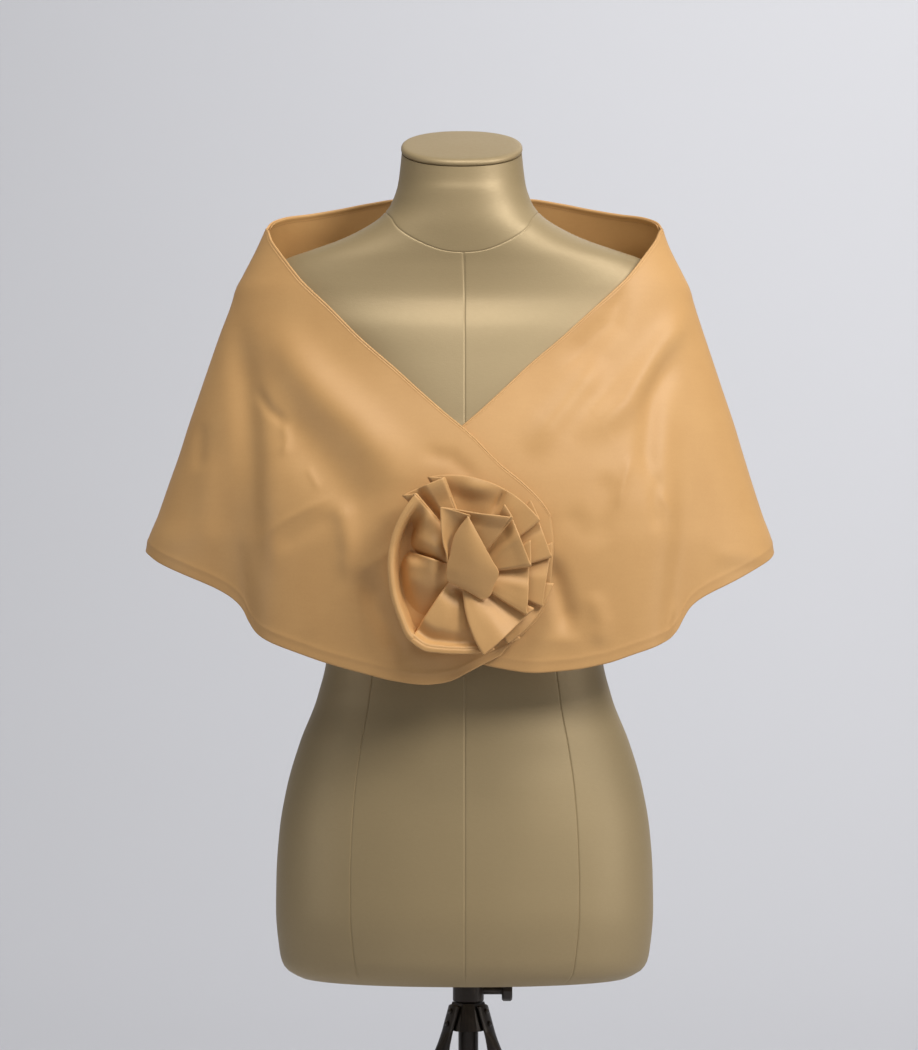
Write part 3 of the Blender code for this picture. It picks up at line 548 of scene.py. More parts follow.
def seam_turns(height):
    """Give the turns of the eight upright seams at a height, from front round to front."""
    front, back = FRONT_SEAM_TURN(height), BACK_SEAM_TURN(height)
    half = [0 * front, front, SIDE_TURN + 0 * front, back, 180 + 0 * front]
    return half + [360 - turn for turn in half[-2::-1]]


def seam_strength(number, level):
    """Give 1 where a seam is sewn in; all but the centre ones fade out below the chest."""
    if number % 4 == 0:
        return 1 + 0 * level
    return smooth_step((SEAM_FADE_TOP - level) / (SEAM_FADE_TOP - SEAM_FADE_FOOT))


def bent_height(turn, level):
    """Bend the rows near the neck so that the row at NECK_LEVEL follows the neck seam."""
    own = np.abs((turn + 180) % 360 - 180)
    below = smooth_step((level - NECK_BEND_FOOT) / (NECK_LEVEL - NECK_BEND_FOOT))
    above = smooth_step((NECK_BEND_TOP - level) / (NECK_BEND_TOP - NECK_LEVEL))
    share = np.where(level < NECK_LEVEL, below, above)
    return level + (NECK_SEAM(own) - NECK_LEVEL) * share


# %% The cover's grid
def form_levels():
    even = np.arange(2, NECK_TOP, FORM_ROW)
    close = [NECK_LEVEL + sign * place for place in GROOVE_PLACES for sign in (-1, 1)]
    kept = even[np.abs(even - NECK_LEVEL) > GROOVE_PLACES[-1] + 1]
    return np.unique(np.concatenate([kept, close, [0, 0.5, NECK_TOP]]))


def form_grid():
    """Give turns, heights and seam grooves of the cover's grid, column by column."""
    levels = form_levels()
    bounds = seam_turns(levels)
    middle = np.linspace(0, 1, PANEL_COLUMNS)[1:-1]
    turns, grooves = [], []
    for number, (first, second) in enumerate(zip(bounds[:-1], bounds[1:])):
        reach, far = mm_per_turn(first, levels), mm_per_turn(second, levels)
        room = second - first
        near = [place / reach for place in GROOVE_PLACES]
        late = [room - place / far for place in GROOVE_PLACES[:0:-1]]
        rest = [near[-1] + (late[0] - near[-1]) * share for share in middle]
        for offset in near + rest + late:
            turns.append(first + offset)
            here = groove(offset * reach) * seam_strength(number, levels)
            there = groove((room - offset) * far) * seam_strength(number + 1, levels)
            grooves.append(here + there)
    turn = np.array(turns)
    return turn, bent_height(turn, levels[None, :]), np.array(grooves), levels


def make_form_cover():
    turn, height, grooves, levels = form_grid()
    ends = smooth_step(levels / SEAM_END_FOOT) * smooth_step((NECK_TOP - levels) / SEAM_END_TOP)
    upright = grooves * np.where(levels < NECK_LEVEL, 1, 0)
    round_neck = groove(np.abs(levels - NECK_LEVEL))[None, :]
    rise = ((upright + round_neck) * ends)[..., None]
    surface = form_point(turn, height) + form_normals(turn, height) * rise
    columns, rows = surface.shape[:2]
    points = surface.reshape(-1, 3)
    faces = grid_faces(columns, rows)
    last = (columns - 1) * rows
    faces += [[last + j, j, j + 1, last + j + 1] for j in range(rows - 1)]
    centres = np.array([[0, 0, 0], surface[:, -1].mean(axis=0)])
    points = np.concatenate([points, centres])
    for i in range(columns):
        after = (i + 1) % columns
        faces.append([len(points) - 2, after * rows, i * rows])
        faces.append([len(points) - 1, i * rows + rows - 1, after * rows + rows - 1])
    add_piece("form_cover", points, faces, cover, ["form_torso"], SHARP_EDGE)


make_form_cover()

# %% [markdown]
# ## Stitches
# A machine stitch seen from a step away is a short dash that sinks at both ends. One small
# spindle stands for each stitch, and a whole line of them is one mesh.


# %% Lines of stitches
# Rings of a spindle: their share of its length, their size and their lift
SPINDLE = ((0.0, 0.15, -0.6), (0.25, 1.0, 0.5), (0.75, 1.0, 0.5), (1.0, 0.15, -0.6))
SPINDLE_SIDES = ((1, 0), (0, 1), (-1, 0), (0, -1))


def stitch_line(path, normals, pitch, length, width, rise):
    """Give the mesh of a row of stitches along a path, which lie on the cloth beside it."""
    along = np.concatenate([[0], np.cumsum(step_lengths(path))])
    points, faces = [], []
    for start in np.arange(pitch, along[-1] - pitch, pitch):
        base = len(points)
        for share, size, lift in SPINDLE:
            place = start + length * share
            centre = np.array([np.interp(place, along, path[:, k]) for k in range(3)])
            up = unit(np.array([np.interp(place, along, normals[:, k]) for k in range(3)]))
            index = min(np.searchsorted(along, place), len(path) - 1)
            over = unit(np.cross(unit(path[index] - path[index - 1]), up))
            for x, y in SPINDLE_SIDES:
                offset = over * x * size * width / 2 + up * (lift * rise + y * size * rise)
                points.append(centre + offset)
        sides = len(SPINDLE_SIDES)
        rings = [range(first, first + sides) for first in range(base, len(points), sides)]
        for first, second in zip(rings[:-1], rings[1:]):
            faces += band_faces(first, second)
        faces.append([base, base + 3, base + 2, base + 1])
        faces.append(list(rings[-1]))
    return points, faces


def join_meshes(meshes):
    points, faces = [], []
    for more_points, more_faces in meshes:
        shift = len(points)
        points.extend(more_points)
        faces.extend([[index + shift for index in face] for face in more_faces])
    return np.array(points), faces


COVER_STITCH_PITCH = 1.7
COVER_STITCH_LENGTH = 1.0
COVER_STITCH_BESIDE = 1.3
COVER_STITCH_WIDTH, COVER_STITCH_RISE = 0.4, 0.16
COVER_STITCH_SINK = 0.12
COVER_STITCH_FOOT = 8
COVER_STITCH_TOP = NECK_LEVEL - 2
COVER_STITCH_PLACES = 240


def cover_seam_path(number, levels):
    """Give a stitch path just beside an upright seam, and the cover's normals there."""
    turn = seam_turns(levels)[number]
    height = bent_height(turn, levels)
    turn = turn + COVER_STITCH_BESIDE / mm_per_turn(turn, height)
    normals = form_normals(turn, height)
    return form_point(turn, height) - normals * COVER_STITCH_SINK, normals


def make_cover_stitches():
    lines = []
    for number in range(8):
        top = COVER_STITCH_TOP if number % 4 == 0 else SEAM_FADE_FOOT
        levels = np.linspace(COVER_STITCH_FOOT, top, COVER_STITCH_PLACES)
        path, normals = cover_seam_path(number, levels)
        lines.append(stitch_line(
            path, normals, COVER_STITCH_PITCH, COVER_STITCH_LENGTH,
            COVER_STITCH_WIDTH, COVER_STITCH_RISE,
        ))
    points, faces = join_meshes(lines)
    add_piece("cover_stitches", points, faces, cover_thread)


make_cover_stitches()

# %% [markdown]
# ## The neck cap
# The cap is a padded disc in the same cover. Its rim is rolled, and it slopes forward with the
# top of the neck. Rings of points follow the rim's profile, and the top swells very slightly.

# %% Neck cap
# Each step of the rim: how far it rises, and how far it stands out from the neck
CAP_PROFILE = [
    (0, -1.6), (0.3, -0.5), (1.0, 0.25), (2.0, 0.65), (3.2, 0.6), (4.4, 0.1), (5.3, -1.0),
    (5.8, -2.5), (6.0, -5),
]
CAP_SEGMENTS = 160
CAP_TOP_RINGS = (0.85, 0.6, 0.3)
CAP_SWELL = 0.8


def make_neck_cap():
    turns = np.arange(CAP_SEGMENTS) * 360 / CAP_SEGMENTS
    rings = []
    for rise, grow in CAP_PROFILE:
        ring = form_point(turns, np.full(CAP_SEGMENTS, float(NECK_TOP)), grow)
        rings.append(ring + np.array([0, 0, SEAM_GAP + rise]))
    rim = rings[-1]
    middle = rim.mean(axis=0)
    for share in CAP_TOP_RINGS:
        rings.append(middle + (rim - middle) * share + np.array([0, 0, CAP_SWELL * (1 - share)]))
    ends = [middle[None] + [[0, 0, CAP_SWELL]], rings[0].mean(axis=0)[None]]
    points = np.concatenate(rings + ends)
    top, bottom = len(points) - 2, len(points) - 1
    last = top - CAP_SEGMENTS
    faces = []
    for ring in range(0, last, CAP_SEGMENTS):
        first, second = range(ring, ring + CAP_SEGMENTS), range(ring + CAP_SEGMENTS, top)
        faces += band_faces(first, second)
    for k in range(CAP_SEGMENTS):
        after = (k + 1) % CAP_SEGMENTS
        faces.append([top, last + k, last + after])
        faces.append([bottom, after, k])
    add_piece("neck_cap_cover", points, faces, cover, ["neck_cap"])


make_neck_cap()

# %% [markdown]
# ## The shawl's surface
# The shawl hangs from the shoulders as one flared surface. Rings give its width and depth at
# each height, and upright flutes pull it in beside the body, most at the hem. The fronts and
# the back are cut from that one surface, so their seams meet.

# %% Rings, flutes, neckline and hem
# Each ring: its height, its half width, its shift to the viewer's right, and how far it reaches
# in front and behind
SHAWL_RINGS = [
    (712, 165, 0, 56, 91), (678, 176.5, 0, 62, 95), (657, 184.5, -1, 68, 98),
    (630, 198, -1.2, 76, 100), (617, 204.5, -1.5, 80, 101), (603, 208.5, -1.6, 84, 102),
    (576, 218, -2.3, 89, 104), (549, 227.5, -2.5, 95, 106), (522, 237, -2.6, 104, 108),
    (495, 246.5, -2.7, 114, 110), (468, 255, -2.9, 123, 112), (441, 264, -3.5, 130, 114),
    (414, 273, -3.8, 134, 116), (387, 282.7, -4.3, 135, 118), (340, 288, -4.3, 134, 121),
    (255, 291, -4.3, 130, 125),
]
RING_WIDTH, RING_LEAN, RING_FRONT, RING_BACK = table_columns(SHAWL_RINGS)
SHAWL_SQUARENESS = 1.8

Flute = namedtuple("Flute", "hem_turn top_turn front_spread back_spread depth fade_height")
FLUTES = [
    Flute(69, 77, 7, 11, 0.095, 590),
    Flute(122, 118, 9, 9, 0.05, 560),
    Flute(155, 155, 9, 9, 0.045, 540),
]
FLUTE_FOOT = 320

# The edges of the panels: turn and height of each place
FRONT_NECKLINE = curve_through([
    (-91, 672), (-87.5, 669.5), (-83.5, 659), (-79, 646.6), (-71, 623.3), (-63.7, 605),
    (-47.8, 569), (-29, 537.5), (-9.6, 506), (4, 483), (14.9, 457.5), (22, 443), (28, 427),
    (31.2, 413.5),
])
BACK_NECKLINE = curve_through([
    (91, 672), (93, 677), (96, 680.3), (101, 684.3), (108, 687.7), (118, 693.3), (130, 700),
    (144, 705), (180, 707.5),
])
UPPER_HEM = curve_through([
    (-91, 382.5), (-87.9, 380), (-83.2, 371.5), (-77.5, 359.5), (-72.6, 347.7), (-69.9, 339),
    (-68.2, 331), (-66.7, 321.5), (-64.5, 314), (-59.3, 304.7), (-53.5, 296.7), (-44.4, 286),
    (-34, 277.5), (-24, 271), (-13, 267.7), (-5, 270), (3.8, 279.5), (9, 286), (14.5, 292.5),
])
UNDER_HEM = curve_through([
    (-91, 382.5), (-89, 379.5), (-83.2, 368.8), (-77.5, 354), (-72.7, 340.2), (-71, 332.8),
    (-69.7, 323), (-68.4, 312.7), (-66.3, 305.8), (-61.9, 301), (-56.4, 294.8), (-48.1, 285),
    (-38.8, 279.7), (-27.8, 277.7), (-15.3, 281.7), (-9, 285), (0, 289), (20, 296),
])
BACK_HEM = curve_through([
    (91, 382.5), (100, 374), (112, 362), (128, 348), (150, 336), (180, 330),
])
SIDE_SEAM = 91
SEAM_HALF_GAP_TURN = 0.05


# %% Points of the shawl
def shawl_point(turn, height, out=0.0):
    """Give a point on the outer face of the cloth, moved out from the axis by a distance."""
    turn = (np.asarray(turn, float) + 180) % 360 - 180
    height = np.asarray(height, float)
    angle = np.radians(turn)
    side, depth = np.sin(angle), np.cos(angle)
    reach = np.where(depth > 0, RING_FRONT(height), RING_BACK(height))
    power = SHAWL_SQUARENESS
    inverse = (np.abs(side) / RING_WIDTH(height)) ** power + (np.abs(depth) / reach) ** power
    drawn = 0
    for flute in FLUTES:
        share = smooth_step((flute.fade_height - height) / (flute.fade_height - FLUTE_FOOT))
        middle = flute.top_turn + (flute.hem_turn - flute.top_turn) * share
        beyond = np.abs(turn) - middle
        spread = np.where(beyond < 0, flute.front_spread, flute.back_spread)
        drawn = drawn + flute.depth * share * bell(beyond, spread)
    radius = inverse ** (-1 / power) * (1 - drawn) + out
    x = RING_LEAN(height) + radius * side
    return np.stack([x, -radius * depth, height + 0 * turn], axis=-1)


# %% [markdown]
# The right front lies over the left, so near the middle one stands a little out and the other a
# little in. The right front ends in a round tab under the rosette; the left front's end is
# hidden. Each panel is a grid from its neckline down to its hem.

# %% Grids of the three panels
LAYER_STEP = 2.5
LAYER_FULL_TURN = 32
LAYER_END_TURN = 68
OVERLAP_DEPTH = 130
# The fronts' free ends: each place's share of the way down, and how far it lies sideways
UPPER_END = curve_through([
    (0, 78.4), (0.2, 81), (0.4, 79.4), (0.55, 77.3), (0.64, 74.3), (0.72, 68.4), (0.8, 60),
    (0.86, 51), (0.92, 42.3), (1, 33.5),
])
UNDER_END = curve_through([(0, 18), (1, 34)])
COLUMN_CROWDING = 0.35
NECK_ROWS = (0, 0.4, 0.8, 1.1, 1.4, 1.7, 2.1, 2.6, 3.1, 3.7, 5, 7, 10, 14, 19)
HEM_ROWS = (0, 0.8, 1.8, 3.2, 5, 6.8, 8, 9, 10, 11.2, 13, 16, 20)
MIDDLE_ROWS = 88
FACING_WIDTH = 45


def layer_out(turn, layer):
    """Give how far a front stands out, or in, where the two fronts lie on each other."""
    away = (np.abs(turn) - LAYER_FULL_TURN) / (LAYER_END_TURN - LAYER_FULL_TURN)
    return layer * LAYER_STEP * (1 - smooth_step(away))


def end_turn(end, share):
    """Give the turn of a front's free end, from its top (0) to its hem (1)."""
    return np.degrees(np.arctan2(end(share), OVERLAP_DEPTH))


def row_heights(top, foot):
    """Give each column's heights, crowded at the neckline's beads and at the hem."""
    first = top - np.array(NECK_ROWS)
    last = foot + np.array(HEM_ROWS[::-1])
    middle = np.linspace(0, 1, MIDDLE_ROWS + 2)[1:-1]
    between = first[:, -1:] + (last[:, :1] - first[:, -1:]) * middle
    return np.concatenate([first, between, last], axis=1)


def front_grid(end, hem, columns):
    """Give the turns and heights of a front, seen from its own side: seam at -91, end past 0."""
    step = np.linspace(0, 1, columns)
    step = (step - COLUMN_CROWDING * step * (1 - step))[:, None]
    seam = -SIDE_SEAM + SEAM_HALF_GAP_TURN
    top = FRONT_NECKLINE(seam + (end_turn(end, 0) - seam) * step)
    foot = hem(seam + (end_turn(end, 1) - seam) * step)
    height = row_heights(top, foot)
    share = (top - height) / (top - foot)
    return seam + (end_turn(end, share) - seam) * step, height


def back_grid(columns):
    even = np.linspace(0, 1, columns)
    step = (even - COLUMN_CROWDING * np.sin(2 * np.pi * even) / (2 * np.pi))[:, None]
    seam = SIDE_SEAM + SEAM_HALF_GAP_TURN
    turn = seam + (360 - 2 * seam) * step
    own = 180 - np.abs(180 - turn)
    height = row_heights(BACK_NECKLINE(own), BACK_HEM(own))
    return turn + 0 * height, height


# %% [markdown]
# ## Creases
# Stiff satin does not ripple, it buckles: broad soft ridges run from the shoulders towards the
# rosette, where the cloth is pulled, and a few short pinches and fold marks stay where it was
# handled. Each crease is a line of places on the cloth, with its own width, height and sharpness,
# read off the photograph. The back gets similar ones.

# %% Creases of each panel
Crease = namedtuple("Crease", "line half_width rise sharp", defaults=[False])
RIGHT_CREASES = [
    Crease(((-87, 610), (-76, 534), (-68, 462), (-63, 394), (-60, 330)), 15, -5.0),
    Crease(((-77, 590), (-56, 523), (-40, 490), (-25, 457), (-12, 432)), 20, 6.5),
    Crease(((-70, 520), (-52, 470), (-36, 425), (-30, 390)), 20, -4.5),
    Crease(((-66, 634), (-62, 610), (-58, 592)), 5.5, -2.2),
    Crease(((-60, 616), (-57, 600), (-53, 586)), 2.6, -1.3, True),
    Crease(((-74, 530), (-67, 506), (-61, 493)), 5, -1.7),
    Crease(((-63, 497), (-60, 480), (-59, 462)), 4, 1.4, True),
    Crease(((-53, 458), (-50, 446), (-47, 434)), 2.5, 0.8, True),
    Crease(((-64, 386), (-54, 411), (-42, 432)), 2.4, 1.5, True),
    Crease(((-58, 382), (-48, 403), (-40, 420)), 9, -1.8),
    Crease(((-43, 430), (-39, 410), (-37, 383), (-38, 350)), 9, 2.6),
    Crease(((-51, 300), (-43, 331), (-36, 364)), 5, 0.8, True),
    Crease(((-35, 362), (-28, 376), (-21, 390)), 4, 1.2, True),
    Crease(((-33, 372), (-30, 338), (-24, 304), (-17, 282)), 11, -6.0),
    Crease(((-80, 480), (-77, 430), (-75, 372)), 15, 1.4),
    Crease(((-84, 500), (-80, 450)), 9, -1.6),
    Crease(((-18, 470), (-4, 462), (8, 440)), 8, -1.6),
    Crease(((-25, 300), (-10, 290), (2, 296)), 9, 1.6),
]
LEFT_CREASES = [
    Crease(((86, 606), (73, 555), (60, 511), (52, 492), (42, 476)), 13, 5.5),
    Crease(((80, 580), (68, 520), (62, 470), (60, 420)), 12, -4.0),
    Crease(((72, 630), (64, 585), (54, 560), (44, 535)), 11, -2.8),
    Crease(((60, 556), (48, 522), (36, 492), (26, 462)), 13, 4.2),
    Crease(((58, 468), (54, 443), (51, 415)), 3.5, 1.4, True),
    Crease(((51, 455), (48, 420), (46, 385)), 10, -1.8),
    Crease(((60, 450), (63, 428), (67, 406)), 3.4, 0.7, True),
    Crease(((64, 455), (61, 427), (60, 395)), 7, -1.6),
    Crease(((68, 340), (66, 322), (65, 300)), 4, 1.0, True),
    Crease(((74, 380), (80, 377), (86, 375)), 9, 1.6),
    Crease(((30, 384), (34, 356), (37, 330), (38, 304)), 10, -5.5),
    Crease(((36, 420), (42, 400), (48, 384)), 11, -1.2),
    Crease(((44, 350), (47, 320), (46, 296)), 9, 2.0),
    Crease(((24, 300), (32, 306), (44, 302)), 5, 0.8, True),
]
BACK_CREASES = [
    Crease(((100, 660), (116, 600), (134, 556), (150, 528)), 17, 5.0),
    Crease(((260, 664), (246, 610), (230, 560), (214, 520)), 17, 4.5),
    Crease(((108, 620), (114, 540), (118, 460), (121, 380)), 13, -3.0),
    Crease(((252, 616), (246, 540), (241, 460), (238, 372)), 13, -3.2),
    Crease(((168, 690), (164, 640), (166, 590)), 15, -2.2),
    Crease(((196, 560), (202, 500), (205, 430), (204, 350)), 15, 2.6),
    Crease(((136, 520), (140, 450), (139, 370)), 14, 2.2),
    Crease(((176, 470), (184, 452), (192, 448)), 4, 1.2, True),
    Crease(((128, 600), (136, 586), (142, 580)), 4, -1.3),
    Crease(((222, 600), (216, 588), (206, 580)), 3.5, 1.2, True),
    Crease(((150, 410), (160, 426), (170, 432)), 3.5, 1.1, True),
    Crease(((224, 420), (220, 404), (219, 390)), 3, 1.0, True),
]
CREASE_FADE = 0.3
CREASE_SHARPNESS = 1.6
CREASE_SEAM_ROOM = 7
CREASE_EDGE_ROOM = 14
CREASE_AT_NECK, CREASE_AT_HEM = 0.25, 0.5
BESIDE_TURN, BESIDE_HEIGHT = 0.2, 1


# %% Creased panels
def crease_rise(points, crease, layer):
    """Give how far a crease moves each point, fading towards the ends of its line."""
    line = np.array([shawl_point(t, h, layer_out(t, layer)) for t, h in crease.line])
    lengths = step_lengths(line)
    nearest = np.full(points.shape[:2], np.inf)
    place = np.zeros(points.shape[:2])
    before = 0.0
    for start, end, length in zip(line[:-1], line[1:], lengths):
        way = end - start
        share = np.clip((points - start) @ way / length**2, 0, 1)
        distance = np.linalg.norm(points - (start + share[..., None] * way), axis=-1)
        closer = distance < nearest
        nearest = np.where(closer, distance, nearest)
        place = np.where(closer, before + share * length, place)
        before += length
    along = place / lengths.sum()
    fade = smooth_step(along / CREASE_FADE) * smooth_step((1 - along) / CREASE_FADE)
    if not crease.sharp:
        return crease.rise * fade * bell(nearest, crease.half_width)
    steep = CREASE_SHARPNESS * (nearest / crease.half_width)
    return crease.rise * fade * (np.exp(-steep) * (1 + steep))


def creased(turn, height, layer, creases):
    """Give a panel's outer face and normals after its creases."""

    def place(turned, raised):
        return shawl_point(turn + turned, height + raised, layer_out(turn + turned, layer))

    flat = place(0, 0)
    over = place(BESIDE_TURN, 0) - place(-BESIDE_TURN, 0)
    normals = unit(np.cross(over, place(0, BESIDE_HEIGHT) - place(0, -BESIDE_HEIGHT)))
    own = np.abs((turn + 180) % 360 - 180)
    seam_fade = smooth_step(np.abs(own - SIDE_SEAM) / CREASE_SEAM_ROOM)
    down = height[:, :1] - height
    up = height - height[:, -1:]
    at_neck = smooth_step(CREASE_AT_NECK + down / CREASE_EDGE_ROOM)
    at_hem = smooth_step(CREASE_AT_HEM + up / CREASE_EDGE_ROOM)
    rise = sum(crease_rise(flat, crease, layer) for crease in creases)
    surface = flat + normals * (rise * seam_fade * (at_neck * at_hem))[..., None]
    return surface, -surface_normals(surface)


# %% [markdown]
# ## Panels as thin shells
# The hem is turned up once, so its last 9 mm are thicker and end in a soft ridge. The neckline
# is where outer cloth and facing meet: two layers with a groove between them.

# %% Shells of the panels
CLOTH = 1.5
NECK_EXTRA = 0.5
HEM_WIDTH = 9
HEM_EXTRA = 0.5
HEM_RIDGE, HEM_RIDGE_WIDTH = 0.35, 2.2
HEM_STEP_AT, HEM_STEP_WIDTH = 1.5, 2
NECK_STEP_WIDTH = 4
Bead = namedtuple("Bead", "down width rise")
NECK_BEADS = [Bead(0.5, 0.45, 0.18), Bead(1.45, 0.35, -0.22), Bead(2.4, 0.55, 0.2)]


def panel_shell(name, node, turn, height, layer, creases):
    surface, normals = creased(turn, height, layer, creases)
    columns, rows = turn.shape
    to_hem = height - height[:, -1:]
    to_neck = height[:, :1] - height
    ridge = HEM_RIDGE * bell(to_hem - HEM_WIDTH, HEM_RIDGE_WIDTH)
    for bead in NECK_BEADS:
        ridge = ridge + bead.rise * bell(to_neck - bead.down, bead.width)
    surface = surface + normals * ridge[..., None]
    thick = CLOTH + HEM_EXTRA * smooth_step((HEM_WIDTH + HEM_STEP_AT - to_hem) / HEM_STEP_WIDTH)
    thick = thick + NECK_EXTRA * smooth_step(1 - to_neck / NECK_STEP_WIDTH)
    loop = border(columns, rows)
    is_neck = np.array([index % rows == 0 for index in loop], float)
    seam_columns = (0, columns - 1) if layer == 0 else (0,)
    is_seam = np.array([index // rows in seam_columns for index in loop], float)
    points, faces = shell(surface, normals, thick, is_neck, is_seam)
    made = add_piece(name, points, faces, satin, [node])
    return made, surface, normals, thick


right_turn, right_height = front_grid(UPPER_END, UPPER_HEM, 230)
left_turn, left_height = front_grid(UNDER_END, UNDER_HEM, 200)
back_turn, back_height = back_grid(230)
right_panel = panel_shell(
    "right_front", "shawl_right_front", right_turn, right_height, 1, RIGHT_CREASES
)
left_panel = panel_shell(
    "left_front", "shawl_left_front", -left_turn[::-1], left_height[::-1], -1, LEFT_CREASES
)
back_panel = panel_shell("back", "shawl_back", back_turn, back_height, 0, BACK_CREASES)

# %% [markdown]
# ## The facing
# Where the collar stands open behind the neck you see its inside: a shaped facing, understitched
# to the seam allowance a few millimetres below the edge. It is made from the back's own points,
# moved in by the two thicknesses of cloth.

# %% Facing and its understitching
FACING_CLOTH = 1.0
FACING_ROLL, FACING_ROLL_DOWN, FACING_ROLL_WIDTH = 0.25, 2.0, 1.4
FACING_ROWS = 40
FACING_COLUMNS = slice(2, -2)
UNDERSTITCH_DOWN = 4.5
UNDERSTITCH_PITCH, UNDERSTITCH_LENGTH = 2.1, 1.3
UNDERSTITCH_WIDTH, UNDERSTITCH_RISE, UNDERSTITCH_SINK = 0.35, 0.15, 0.02


def make_facing(back):
    _, surface, normals, thick = back
    top = back_height[:, :1]
    shares = np.linspace(0, 1, FACING_ROWS)[None, :]
    wanted = (top - FACING_WIDTH * shares)[FACING_COLUMNS]
    columns, rows = wanted.shape
    sources = np.concatenate([surface, normals, thick[..., None]], axis=-1)[FACING_COLUMNS, ::-1]
    heights = back_height[FACING_COLUMNS, ::-1]
    read = np.empty((columns, rows, sources.shape[-1]))
    for i in range(columns):
        for k in range(sources.shape[-1]):
            read[i, :, k] = np.interp(wanted[i], heights[i], sources[i, :, k])
    outer, facing_normals, depth = read[..., :3], unit(read[..., 3:6]), read[..., 6]
    down = top[FACING_COLUMNS] - wanted
    roll = FACING_ROLL * bell(down - FACING_ROLL_DOWN, FACING_ROLL_WIDTH)
    face = outer - facing_normals * (depth + SEAM_GAP + FACING_CLOTH + roll)[..., None]
    is_seam = np.array([index // rows in (0, columns - 1) for index in border(columns, rows)], float)
    points, faces = shell(face, -facing_normals, FACING_CLOTH + roll, 0 * is_seam, is_seam)
    made = add_piece("facing", points, faces, satin, ["back_facing"])
    row = int(np.argmin(np.abs(down[0] - UNDERSTITCH_DOWN)))
    outward = -facing_normals[2:-2, row]
    path = face[2:-2, row] + outward * UNDERSTITCH_SINK
    points, faces = stitch_line(
        path, outward, UNDERSTITCH_PITCH, UNDERSTITCH_LENGTH, UNDERSTITCH_WIDTH, UNDERSTITCH_RISE
    )
    add_piece("understitching", points, faces, satin_thread)
    return made, face


facing = make_facing(back_panel)

# %% [markdown]
# ## The rosette
# The rosette is one strip of satin, folded in half along its length and wound outwards in knife
# pleats. Each panel climbs as it goes round, ends in a fold, tucks back under itself and starts
# again below, so the strip's own middle surface is drawn station by station and then given its
# thickness. The tables say where each fold reaches the rim.

# %% Pleats of the two turns of the strip
ROSETTE_SIDEWAYS = 4.9
ROSETTE_HEIGHT = 368
CLOTH_AT_ROOT = 1.0
CLOTH_AT_RIM = 1.6
LEVEL_AT_ROOT = 1.8
LEVEL_AT_RIM = 3.0
TUCK_AT_ROOT = 2.9
FOLD_MARGIN = 0.6
SHORTEST_CLIMB = 0.02
FOLD_STEPS = 10
PANEL_STEPS = 30

# Turns run clockwise from the top. turn and reach: where a panel's corner fold meets the rim.
# tuck_turn and tuck_reach: where the tuck below it does, which pokes out past the rim.
# root_turn: where the fold starts. lift: how far it stands out from the right front. dip: how
# far the next panel's rim runs inside a round one. roll: how wide the folds open. flare: how
# far the rim curls forward there. bow: how far the folded line bends sideways on its way.
Pleat = namedtuple("Pleat", "root_turn turn reach tuck_turn tuck_reach lift dip roll flare bow")
INNER_START = Pleat(-22, -26, 57.5, -26, 57.5, 24, 9.6, 1, 3, 0)
INNER_PLEATS = [
    Pleat(46, 40, 56, 28.4, 61.4, 20.5, 7, 1.35, 3.5, 0),
    Pleat(108, 88, 51.5, 65.4, 56, 20, 9, 1.1, 1, 0),
    Pleat(170, 130, 61.7, 122.9, 64.3, 20, 6, 1.1, 1, 0),
    Pleat(212, 171.7, 74.5, 163.9, 72.2, 26, 0, 1, 0, 5),
]
OUTER_START = Pleat(164, 164, 72, 164, 72, 23.6, 0, 1, 0, 0)
OUTER_PLEATS = [
    Pleat(338, 324, 78.6, 317, 85, 21, 2, 1.6, 5, 0),
    Pleat(362, 344, 80.4, 335, 86, 17, 4.5, 1.9, 6, 0),
    Pleat(430, 415.4, 72, 402, 77.3, 13.5, 4.5, 1, 0, 0),
    Pleat(474, 442, 70, 433, 73.3, 10.5, 6, 0.95, 0, 0),
    Pleat(494, 478.3, 69.8, 461, 72.4, 9.5, 2, 0.9, 0, 0),
    Pleat(520, 514, 71.7, 505, 74, 9, 0, 0.9, 0, 0),
]
INNER_ROOT, INNER_ROOT_LIFT = 12, 9.9
OUTER_ROOT, OUTER_ROOT_LIFT = 17, 4.7
FLARE_FROM, FLARE_RUN = 0.7, 0.3

# %% [markdown]
# A fold isn't a crease line here but two half circles, one over the other: the panel turns down
# and back at its corner, and forward again at the tuck below. That gives each pleat the soft
# rounded edge that shows in the photograph.


# %% Corner folds and tucks
def on_front(sideways, up, lift):
    """Place a rosette point: its offsets from the centre, and its height above the right front."""
    x = ROSETTE_SIDEWAYS + sideways
    height = ROSETTE_HEIGHT + up
    across = np.abs(x - RING_LEAN(height)) / RING_WIDTH(height)
    power = SHAWL_SQUARENESS
    depth = RING_FRONT(height) * (1 - across**power) ** (1 / power) + LAYER_STEP
    return np.stack([x, -(depth + lift), height], axis=-1)


def polar(turn, reach):
    angle = np.radians(turn)
    return np.stack([reach * np.sin(angle), reach * np.cos(angle)], axis=-1)


def clockwise(way):
    """Turn flat directions by a right angle, clockwise."""
    return unit(np.stack([way[..., 1], -way[..., 0]], axis=-1))


def line(start, end, share, bow=0.0):
    bent = arch(share) * bow
    return start + (end - start) * share[:, None] + clockwise(end - start) * bent[:, None]


